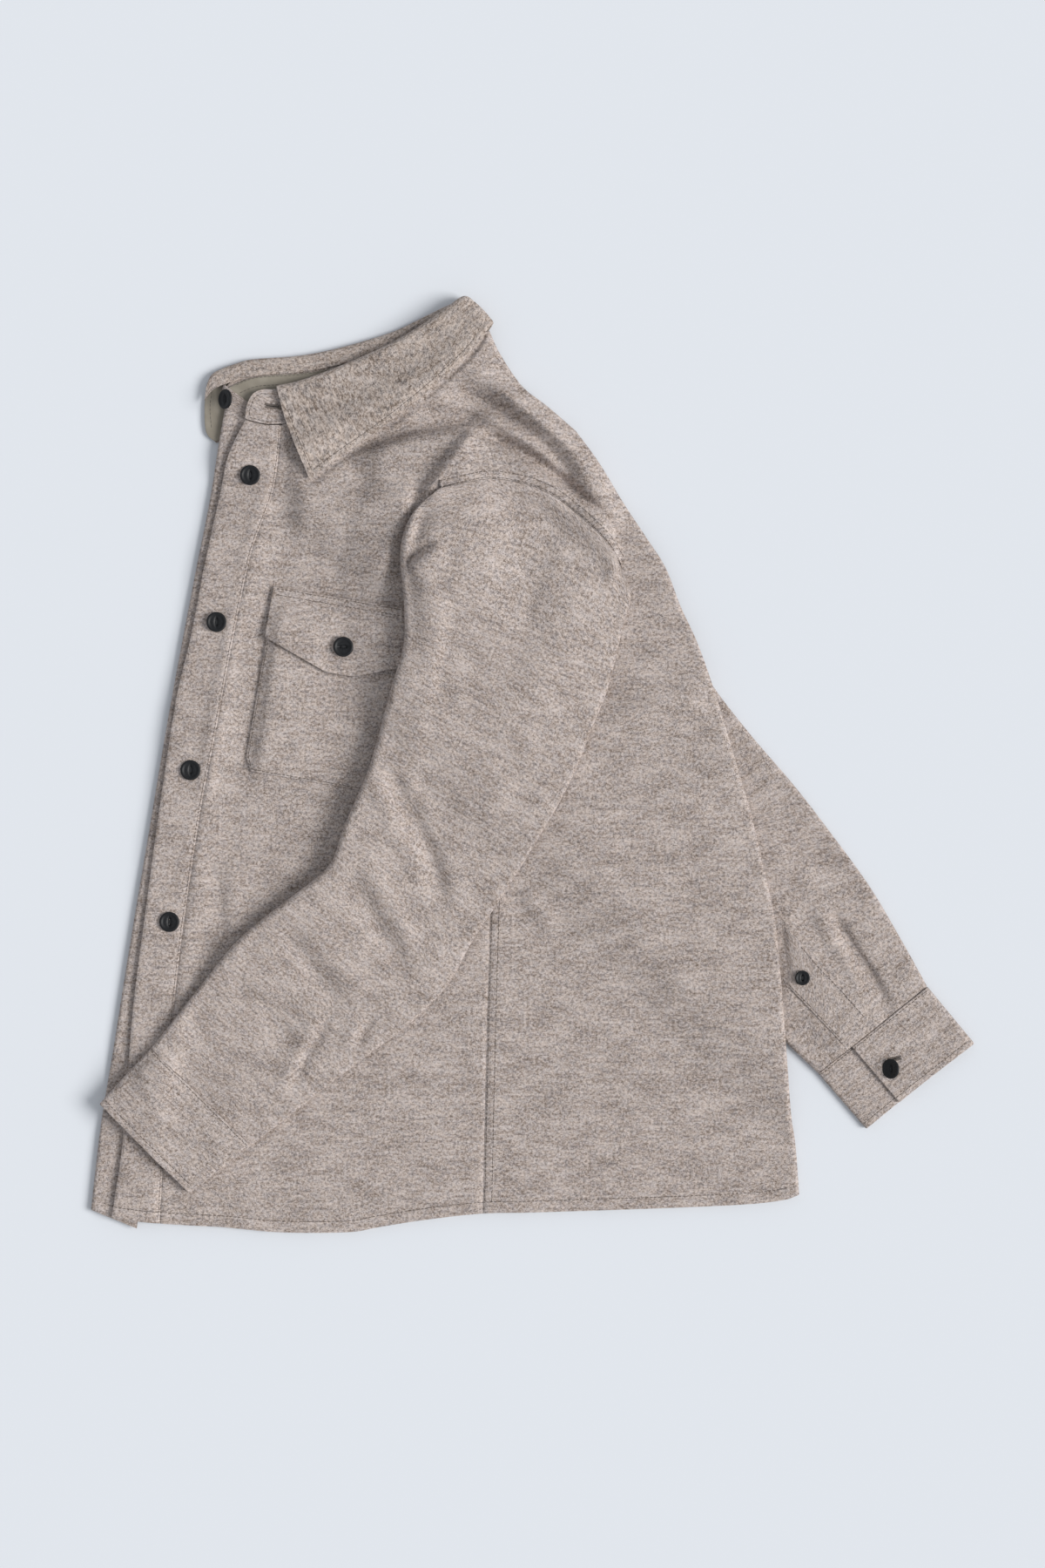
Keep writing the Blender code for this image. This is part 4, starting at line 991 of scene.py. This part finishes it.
def make_stand():
    across = shares(22, STAND_FOOT_GAP, STAND_ROLL_GAP)
    end = Line(NEAR_STAND_END)
    foot = joined(Line(NEAR_STAND_FOOT), Line(NECKLINE))
    roll = joined(Line([(-216, 301), (-211, 303), (-206, 303)]), Line(NEAR_ROLL))
    back = Line([NECKLINE[-1], (-41.2, 365.4), NEAR_ROLL[-1]])
    near = filled(foot, roll, end, back, across, shares(100))
    front = body_top(near)
    near = with_height(near, front + (STAND_TOP - front) * smooth(across / (1 - STAND_ROLL_GAP)))

    far_foot = turned_round(Line(FAR_NECKLINE))
    far_roll = turned_round(Line([(-248, 309), (-238, 315), (-226, 320)] + FAR_ROLL[5:]))
    far_end = Line([FAR_NECKLINE[0], (-250.5, 296), (-248, 309)])
    far = filled(far_foot, far_roll, back, far_end, across, shares(90))
    far = level(far, STAND_FOOT)
    end_foot = Line([(-226, 279), FAR_NECKLINE[0]])
    end_roll = Line([(-225, 289), (-248, 309)])
    tip = filled(end_foot, end_roll, Line([(-226, 279), (-225, 289)]), far_end, across, shares(18))
    tip = level(tip, STAND_TIP)
    far_rows = far.transpose(1, 0, 2).copy()
    tip_rows = tip.transpose(1, 0, 2).copy()
    end_turn = turn(tip_rows, far_rows, 7)[:, ::-1]
    near_rows = near.transpose(1, 0, 2).copy()
    start = far_rows[:, ::-1].copy()
    centre_turn = turn(near_rows, start, 9, np.full(len(across), LEAF_CREST / 2))
    whole = np.concatenate([near_rows, centre_turn, start[:, ::-1], end_turn, tip_rows[:, ::-1]], axis=1)
    return cloth("collar_stand_cloth", whole, wool, COLLAR_WALL, grain_of, seams=("start",))


def make_facing():
    """The smooth inside of the stand, from the neckline to the seam with the turned-in leaf cloth."""
    rows = shares(12, 0.10, 0.0)[:, None, None]

    def half(foot, roll, height):
        foot, roll = foot(shares(70)), roll(shares(70))
        depth = np.linalg.norm(roll - foot, axis=1)[None, :, None]
        plan = foot[None] + (roll - foot)[None] * rows * (1 - (INNER_BAND + 1.5) / depth)
        return level(plan, height)

    near = half(Line(NECKLINE), Line(NEAR_ROLL), NEAR_FACING)
    far = half(Line([(-243, 290)] + FAR_NECKLINE[2:]), Line(FAR_BAND_TOP), FAR_FACING)
    facing = folded_over(near, far, 5, np.full(len(near), LEAF_CREST / 2))
    return cloth("stand_facing_cloth", facing, greige, LINING_WALL, grain_of, flip=True, edge=0.3)


class Field:
    """A value that varies over a surface: the output socket of one of a finish's nodes."""

    def __init__(self, finish, socket):
        self.finish = finish
        self.socket = socket

    def worked(self, operation, other):
        return self.finish.node("ShaderNodeMath", {"operation": operation}, {0: self, 1: other})

    def __add__(self, other):
        return self.worked("ADD", other)

    def __mul__(self, other):
        return self.worked("MULTIPLY", other)

    def between(self, low, high):
        """Nought below the first value, one above the second, and smooth between."""
        settings = {"interpolation_type": "SMOOTHSTEP"}
        inputs = {"Value": self, "From Min": low, "From Max": high}
        return self.finish.node("ShaderNodeMapRange", settings, inputs)


class Finish:
    """A named material with one Principled surface."""

    def __init__(self, name):
        self.material = bpy.data.materials.new(name)
        self.material.use_nodes = True
        self.tree = self.material.node_tree
        self.surface = self.tree.nodes["Principled BSDF"]

    def node(self, kind, settings=None, inputs=None, output=0):
        made = self.tree.nodes.new(kind)
        for name, value in (settings or {}).items():
            setattr(made, name, value)
        for name, value in (inputs or {}).items():
            self.feed(made.inputs[name], value)
        return Field(self, made.outputs[output])

    def feed(self, socket, value):
        if isinstance(value, Field):
            self.tree.links.new(value.socket, socket)
        else:
            socket.default_value = value

    def set(self, **values):
        for name, value in values.items():
            self.feed(self.surface.inputs[name.replace("_", " ")], value)

    def weave(self, across, along, turned=0.0):
        """The cloth's own directions, in waves a metre along the weft and along the warp."""
        place = self.node("ShaderNodeUVMap", {"uv_map": "weave"})
        mapping = {"Vector": place, "Scale": (across, along, 1), "Rotation": (0, 0, turned)}
        return self.node("ShaderNodeMapping", None, mapping)

    def object_place(self):
        """Places on a finished piece, in metres."""
        return self.node("ShaderNodeTexCoord", output=3)

    def noise(self, place, scale=1.0, detail=2.0, roughness=0.5):
        inputs = {"Vector": place, "Scale": scale, "Detail": detail, "Roughness": roughness}
        return self.node("ShaderNodeTexNoise", {"normalize": True}, inputs)

    def mixed(self, share, first, second):
        """Two colours mixed by a field."""
        made = self.tree.nodes.new("ShaderNodeMix")
        made.data_type = "RGBA"
        self.feed(made.inputs[0], share)
        self.feed(made.inputs[6], first)
        self.feed(made.inputs[7], second)
        return Field(self, made.outputs[2])

    def bump(self, height, strength, distance):
        inputs = {"Height": height, "Strength": strength, "Distance": distance}
        return self.node("ShaderNodeBump", None, inputs)


def linear(red, green, blue):
    """A colour as seen on a screen, 0 to 255, for a shader."""
    def open_up(value):
        value = value / 255
        return value / 12.92 if value <= 0.04045 else ((value + 0.055) / 1.055) ** 2.4
    return (open_up(red), open_up(green), open_up(blue), 1)


def melange_wool(name, light, warm, cool, dark, fine=1.0):
    """Felted melange: pale, brown and grey fibres, faintly streaked along the weft, under a short nap."""
    finish = Finish(name)
    fibres = finish.noise(finish.weave(420 * fine, 500 * fine), detail=4.0, roughness=0.75)
    grain = finish.noise(finish.weave(1100, 1300), detail=2.0, roughness=0.7)
    streaks = finish.noise(finish.weave(60, 260), detail=3.0, roughness=0.65)
    clouds = finish.noise(finish.weave(34, 60), detail=2.0, roughness=0.6)
    blend = fibres * 1.15 + grain * 0.75 + streaks * 0.30 + clouds * 0.28
    shade = finish.mixed(blend.between(0.96, 1.50), dark, light)
    patches = finish.noise(finish.weave(170, 240), detail=3.0, roughness=0.7)
    tint = finish.mixed(patches.between(0.42, 0.60), warm, cool)
    shade = finish.mixed(0.34, shade, tint)
    nap = finish.noise(finish.weave(520, 640), detail=4.0, roughness=0.75)
    finish.set(Base_Color=shade, Roughness=0.95, Sheen_Weight=0.16, Sheen_Roughness=0.5,
               Sheen_Tint=linear(206, 196, 188), Specular_IOR_Level=0.1,
               Normal=finish.bump(nap, 0.42, 0.0009))
    return finish.material


def greige_twill(name):
    """Smooth cotton of the under-collar and the stand's inside."""
    finish = Finish(name)
    place = finish.weave(1, 1, math.radians(45))
    ribs = {"Vector": place, "Scale": 420.0, "Distortion": 1.2}
    rib = finish.node("ShaderNodeTexWave", {"bands_direction": "X"}, ribs)
    soft = finish.noise(finish.weave(60, 60), detail=2.0)
    shade = finish.mixed(soft.between(0.35, 0.65), linear(138, 131, 119), linear(153, 146, 134))
    finish.set(Base_Color=shade, Roughness=0.72, Specular_IOR_Level=0.25, Sheen_Weight=0.1,
               Normal=finish.bump(rib, 0.25, 0.0002))
    return finish.material


def navy_horn(name):
    """The buttons' dark satin horn."""
    finish = Finish(name)
    grain = finish.noise(finish.object_place(), 900.0, 3.0, 0.6)
    shade = finish.mixed(grain.between(0.4, 0.7), linear(13, 14, 17), linear(27, 29, 33))
    finish.set(Base_Color=shade, Roughness=0.5, Specular_IOR_Level=0.35,
               Normal=finish.bump(grain, 0.15, 0.0002))
    return finish.material


def sewing_thread(name, colour):
    """Twisted thread, with painted shade a fifth darker in the hollows of its twist."""
    finish = Finish(name)
    twist = finish.noise(finish.object_place(), 2200.0, 2.0, 0.6)
    # Painted shade: the colour darkens by a fifth where the twist's bump is low.
    hollow = [part * 0.8 for part in colour[:3]] + [1]
    shade = finish.mixed(twist.between(0.3, 0.7), hollow, colour)
    finish.set(Base_Color=shade, Roughness=0.8, Sheen_Weight=0.15, Normal=finish.bump(twist, 0.3, 0.0002))
    return finish.material


def felt(name, x, y):
    """The place on a piece under a plan point, in metres, and which way its cloth faces there."""
    if name not in surfaces:
        surfaces[name] = BVHTree.FromObject(bpy.data.objects[name], bpy.context.evaluated_depsgraph_get())
    above = Vector((x * MM, (y + PLACE_Y) * MM, 0.2))
    return surfaces[name].ray_cast(above, Vector((0, 0, -1)))[:2]


def highest(pieces, point):
    """The same on whichever of the pieces is uppermost there."""
    found = [felt(piece, *point) for piece in pieces]
    found = [hit for hit in found if hit[0] is not None]
    return max(found, key=lambda hit: hit[0].z) if found else None


def lay_thread(sewn, start, end, facing, radius, sink=0.0):
    """One short thread between two places in metres."""
    along = (end - start).normalized()
    side = along.cross(facing).normalized()
    basis = Matrix((side, along.cross(side), along)).transposed().to_4x4()
    middle = (start + end) / 2 - facing * sink * MM
    size = Matrix.Diagonal((radius * MM, radius * MM, (end - start).length / 2 + radius * MM, 1))
    placed = Matrix.Translation(middle) @ basis @ size
    bmesh.ops.create_uvsphere(sewn, u_segments=6, v_segments=4, radius=1, matrix=placed)


def finish_threads(name, sewn, thread):
    made = in_scene(name, mesh_of(name, sewn, thread))
    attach(made, "root")


def stitches(name, pieces, lines, thread):
    """Rows of stitches along lines of plan points, laid on whichever of the pieces is uppermost."""
    pitch, length, radius = STITCH
    sewn = bmesh.new()
    for points in lines:
        points = np.asarray(points, float)
        travel = travelled(points)
        for first in np.arange(pitch / 2, travel[-1] - length, pitch):
            hits = [highest(pieces, end) for end in places(points, travel, [first, first + length])]
            if None in hits or (hits[0][0] - hits[1][0]).length > 2 * length * MM:
                continue
            lay_thread(sewn, hits[0][0], hits[1][0], hits[0][1], radius, 0.08)
    finish_threads(name, sewn, thread)


def buttonhole(name, piece, ends):
    """A slit between two plan points with threads whipped over both of its lips, and a dark thread laid along
    it as painted shade of the opening.
    """
    pitch, length, radius = WHIP
    start, end = np.array(ends, float)
    along = (end - start) / np.linalg.norm(end - start)
    out = np.array([-along[1], along[0]])
    sewn = bmesh.new()
    for at in np.arange(0.3, np.linalg.norm(end - start), pitch):
        for side in (-1, 1):
            hits = [felt(piece, *(start + along * at + out * side * away)) for away in (LIP, LIP + length)]
            if hits[0][0] is None or hits[1][0] is None:
                continue
            lay_thread(sewn, hits[0][0], hits[1][0], hits[0][1], radius)
    finish_threads(name + "_threads", sewn, wool_thread_with_painted_shade)
    # A dark thread sunk in the slit: painted shade of the opening.
    slit = bmesh.new()
    hits = [felt(piece, *start), felt(piece, *end)]
    lay_thread(slit, hits[0][0], hits[1][0], hits[0][1], 0.55, 0.2)
    finish_threads(name + "_slit", slit, slit_shade)


def button(name, node, radius, turned=0.0):
    """A turned button with a raised rim and, in its dished middle, a lens-shaped hollow with two holes."""
    low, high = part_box(node)
    centre = (low + high) / 2
    disc = bmesh.new()
    points = [disc.verts.new((share * radius, 0, up)) for share, up in BUTTON_PROFILE]
    for first, second in zip(points, points[1:]):
        disc.edges.new((first, second))
    bmesh.ops.spin(disc, geom=disc.verts[:] + disc.edges[:], cent=(0, 0, 0), axis=(0, 0, 1),
                   angle=2 * math.pi, steps=48, use_merge=True)
    bmesh.ops.remove_doubles(disc, verts=disc.verts, dist=0.001)
    for vertex in disc.verts:
        x, y, up = vertex.co
        if up < 1.7:
            continue
        lens = 1 - abs(x) / (0.26 * radius) - (y / (0.62 * radius)) ** 2
        vertex.co.z -= 1.0 * max(0.0, min(1.0, lens * 1.8))
        for side in (-1, 1):
            away = math.hypot(x, y - side * 0.24 * radius)
            vertex.co.z -= 1.1 * max(0.0, 1 - away / 1.1)
    bmesh.ops.recalc_face_normals(disc, faces=disc.faces)
    horn_faces = len(disc.faces)
    for side in (-0.32, 0.32):
        thread = Matrix.Translation((side, 0, 1.15)) @ Matrix.Diagonal((0.3, 0.3 * radius, 0.34, 1))
        bmesh.ops.create_uvsphere(disc, u_segments=8, v_segments=6, radius=1, matrix=thread)
    disc.faces.ensure_lookup_table()
    for face in disc.faces[horn_faces:]:
        face.material_index = 1
    mesh = mesh_of(name, disc, horn, navy_thread)
    lean, stand_off = BUTTON_LEANS.get(node, (0.0, 0.0))
    raised = Matrix.Translation(centre) @ Matrix.Translation((0, 0, stand_off * MM))
    place = raised @ Matrix.Rotation(lean, 4, "Y") @ Matrix.Rotation(turned, 4, "Z")
    mesh.transform(place @ Matrix.Scale(MM, 4) @ Matrix.Translation((0, 0, -1.35)))
    return in_scene(name, mesh)


wool = melange_wool("melange wool", linear(230, 218, 213), linear(158, 138, 121), linear(152, 143, 141),
                    linear(60, 51, 48))
collar_wool = melange_wool("collar melange wool", linear(226, 213, 205), linear(152, 132, 116),
                           linear(146, 137, 134), linear(46, 39, 36), fine=0.95)
greige = greige_twill("greige twill")
horn = navy_horn("navy horn")
# Darker than the stitches' own wool tone: partly the thread's colour, partly painted shade of the furrows
# that the stitches sit in.
wool_thread_with_painted_shade = sewing_thread("wool thread with painted shade", linear(96, 86, 78))
greige_thread = sewing_thread("greige thread", linear(116, 109, 100))
navy_thread = sewing_thread("navy thread", linear(30, 32, 37))
# Painted shade: a near-black colour for the thread that fills a buttonhole's slit.
slit_shade = sewing_thread("buttonhole slit shade", linear(34, 29, 26))

# Each cloth, the nodes it stands for, its finish, flat size and area in metres, what it rests on and its hold
cloths = [
    (make_left_front(), ["left_front"], "wool", (0.31, 0.66), 0.137, ["right_front_cloth"], "laid"),
    (make_placket(), ["left_front_placket"], "wool", (0.045, 0.655), None, ["left_front_cloth"], "laid"),
    (make_right_front(), ["right_front"], "wool", (0.38, 0.70), 0.20, ["floor"], "folded"),
    (make_back(), ["back"], "wool", (0.52, 0.70), 0.26, ["floor"], "folded"),
    (make_yoke(), ["yoke"], "wool", (0.17, 0.16), 0.024, ["floor"], "folded"),
    (make_left_sleeve(), ["left_sleeve"], "wool", (0.38, 0.60), 0.16,
     ["left_front_cloth", "back_cloth"], "laid"),
    (make_left_cuff(), ["left_cuff"], "wool", (0.24, 0.064), None, ["left_front_cloth"], "laid"),
    (make_right_sleeve(), ["right_sleeve"], "wool", (0.38, 0.58), 0.16, ["floor"], "laid"),
    (make_right_cuff(), ["right_cuff"], "wool", (0.25, 0.064), None, ["floor"], "laid"),
    (make_sleeve_placket(), ["right_sleeve_placket"], "wool", (0.035, 0.075), None,
     ["right_sleeve_cloth"], "laid"),
    (make_pocket(), ["left_chest_pocket"], "wool", (0.128, 0.15), None, ["left_front_cloth"], "laid"),
    (make_flap(), ["left_pocket_flap"], "wool", (0.13, 0.061), None, ["left_chest_pocket_cloth"], "laid"),
    (make_collar_leaf(), ["collar_leaf"], "wool", (0.44, 0.09), None, ["collar_stand_cloth"], "folded"),
    (make_under_collar(), ["under_collar"], "greige_cotton", (0.43, 0.06), None,
     ["collar_leaf_cloth"], "folded"),
    (make_stand(), ["collar_stand"], "wool", (0.47, 0.032), None, ["left_front_cloth"], "folded"),
    (make_facing(), ["stand_facing"], "greige_cotton", (0.42, 0.02), None, ["collar_stand_cloth"], "folded"),
]
for piece, nodes, finish_slot, flat, area, rests_on, held in cloths:
    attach(piece, "root")
    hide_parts(*nodes)

for node in [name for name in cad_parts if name.startswith("button")]:
    radius = SMALL_BUTTON_RADIUS if node == "button_sleeve_placket" else BUTTON_RADIUS
    piece = button(node + "_turned", node, radius, BUTTON_TURNS.get(node, 0.0))
    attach(piece, "root")
    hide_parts(node)

surfaces = {}


def pocket_line(stops):
    return [pocket_point(across, down) for across, down in stops]


def between(first, second, share):
    """Plan points from one line to the other at a share of the way."""
    return np.asarray(first, float) * (1 - share) + np.asarray(second, float) * share


def beside(points, away, first, last):
    """Points beside a smooth line, to its left, between two shares of its length."""
    return offset_line(Line(points), away, first, last)


cuff_start, _, cuff_end = [[row[0:2], row[2:4]] for row in LEFT_CUFF]
WOOL_SEWING = [
    ("placket", ["left_front_placket_cloth"], [beside(PLACKET_SEAM, 1.6, 0.01, 0.985)]),
    ("hem", ["right_front_cloth", "left_front_placket_cloth", "left_front_cloth", "back_cloth"],
     [beside(HEM, HEM_TURN, 0.01, 0.99)]),
    ("side", ["back_cloth"], [beside(SIDE_SEAM, away, 0.02, 0.62) for away in (-1.4, -7.0)]),
    ("armhole", ["left_front_cloth", "yoke_cloth", "back_cloth"],
     [beside(ARMHOLE_TOP, away, 0.0, 0.98) for away in (6.0, 1.2)]),
    ("pocket", ["left_chest_pocket_cloth"],
     [pocket_line([(-61.2, 44), (-61.2, 138), (-56.6, 148.2), (56.6, 148.2), (61.2, 138), (61.2, 44)])]),
    ("flap", ["left_pocket_flap_cloth"],
     [pocket_line([(-63, 1.4), (63, 1.4)]), pocket_line([(-62.5, 6.4), (62.5, 6.4)])]),
    ("left_cuff", ["left_cuff_cloth"], [between(cuff_start, cuff_end, share) for share in (0.03, 0.91)]),
    ("right_cuff", ["right_cuff_cloth"],
     [between(RIGHT_CUFF_TOP, RIGHT_CUFF_END, share) for share in (0.04, 0.92)]),
    ("sleeve_placket", ["right_sleeve_placket_cloth"],
     [beside(SLIT_RIGHT, -1.8, 0.03, 0.95), beside([(200, -175)] + SLIT_LEFT, 1.8, 0.03, 0.95)]),
    ("collar", ["collar_leaf_cloth"],
     [beside(NEAR_LEAF_EDGE, 4.6, 0.03, 0.9), beside(NEAR_LEAF_FRONT, 4.6, 0.12, 0.95)]),
    ("stand", ["collar_stand_cloth"],
     [beside(NEAR_STAND_FOOT, 2.2, 0.06, 1.0), beside(NEAR_STAND_END, -3.4, 0.05, 0.98)]),
]
GREIGE_SEWING = [
    ("under_collar", ["under_collar_cloth"], [beside(FAR_LEAF_FRONT[:3], 4.6, 0.1, 0.95)]),
    ("facing", ["stand_facing_cloth"], [beside(FAR_BAND_TOP, away, 0.02, 0.75) for away in (-15.6, -22.5)]),
]
for seam, pieces, lines in WOOL_SEWING:
    stitches(seam + "_stitches", pieces, lines, wool_thread_with_painted_shade)
for seam, pieces, lines in GREIGE_SEWING:
    stitches(seam + "_stitches", pieces, lines, greige_thread)
buttonhole("stand_buttonhole", "collar_stand_cloth", STAND_BUTTONHOLE)
buttonhole("cuff_buttonhole", "right_cuff_cloth", CUFF_BUTTONHOLE)


def make_floor():
    finish = Finish("pale floor")
    finish.set(Base_Color=linear(222, 226, 232), Roughness=0.9, Specular_IOR_Level=0.1)
    ground = bmesh.new()
    bmesh.ops.create_grid(ground, x_segments=1, y_segments=1, size=FLOOR_SIZE)
    floor = in_scene("floor", mesh_of("floor", ground, finish.material))
    floor.location.z = -FLOOR_DROP


def make_light(name, turn_round, height, strength, spread, colour):
    """A soft light from far off: its direction in plan and its height, in degrees."""
    data = bpy.data.lights.new(name, "SUN")
    data.energy = strength
    data.angle = math.radians(spread)
    data.color = colour
    turn_round, height = math.radians(turn_round), math.radians(height)
    out = math.cos(height)
    place = Vector((math.cos(turn_round) * out, math.sin(turn_round) * out, math.sin(height)))
    in_scene(name, data).rotation_euler = place.to_track_quat("Z", "Y").to_euler()


make_floor()
make_light("window", turn_round=-6, height=38, strength=2.95, spread=30, colour=(1.0, 0.985, 0.96))
world = bpy.data.worlds.new("studio")
world.use_nodes = True
background = world.node_tree.nodes["Background"]
background.inputs["Color"].default_value = SKY
background.inputs["Strength"].default_value = SKY_STRENGTH
bpy.context.scene.world = world
bpy.context.scene.view_settings.view_transform = "Standard"

lens = bpy.data.cameras.new("camera")
lens.lens = 85
lens.sensor_width = 36
camera = in_scene("camera", lens)
camera.location = (*CAMERA_PLACE, CAMERA_HEIGHT)
bpy.context.scene.camera = camera
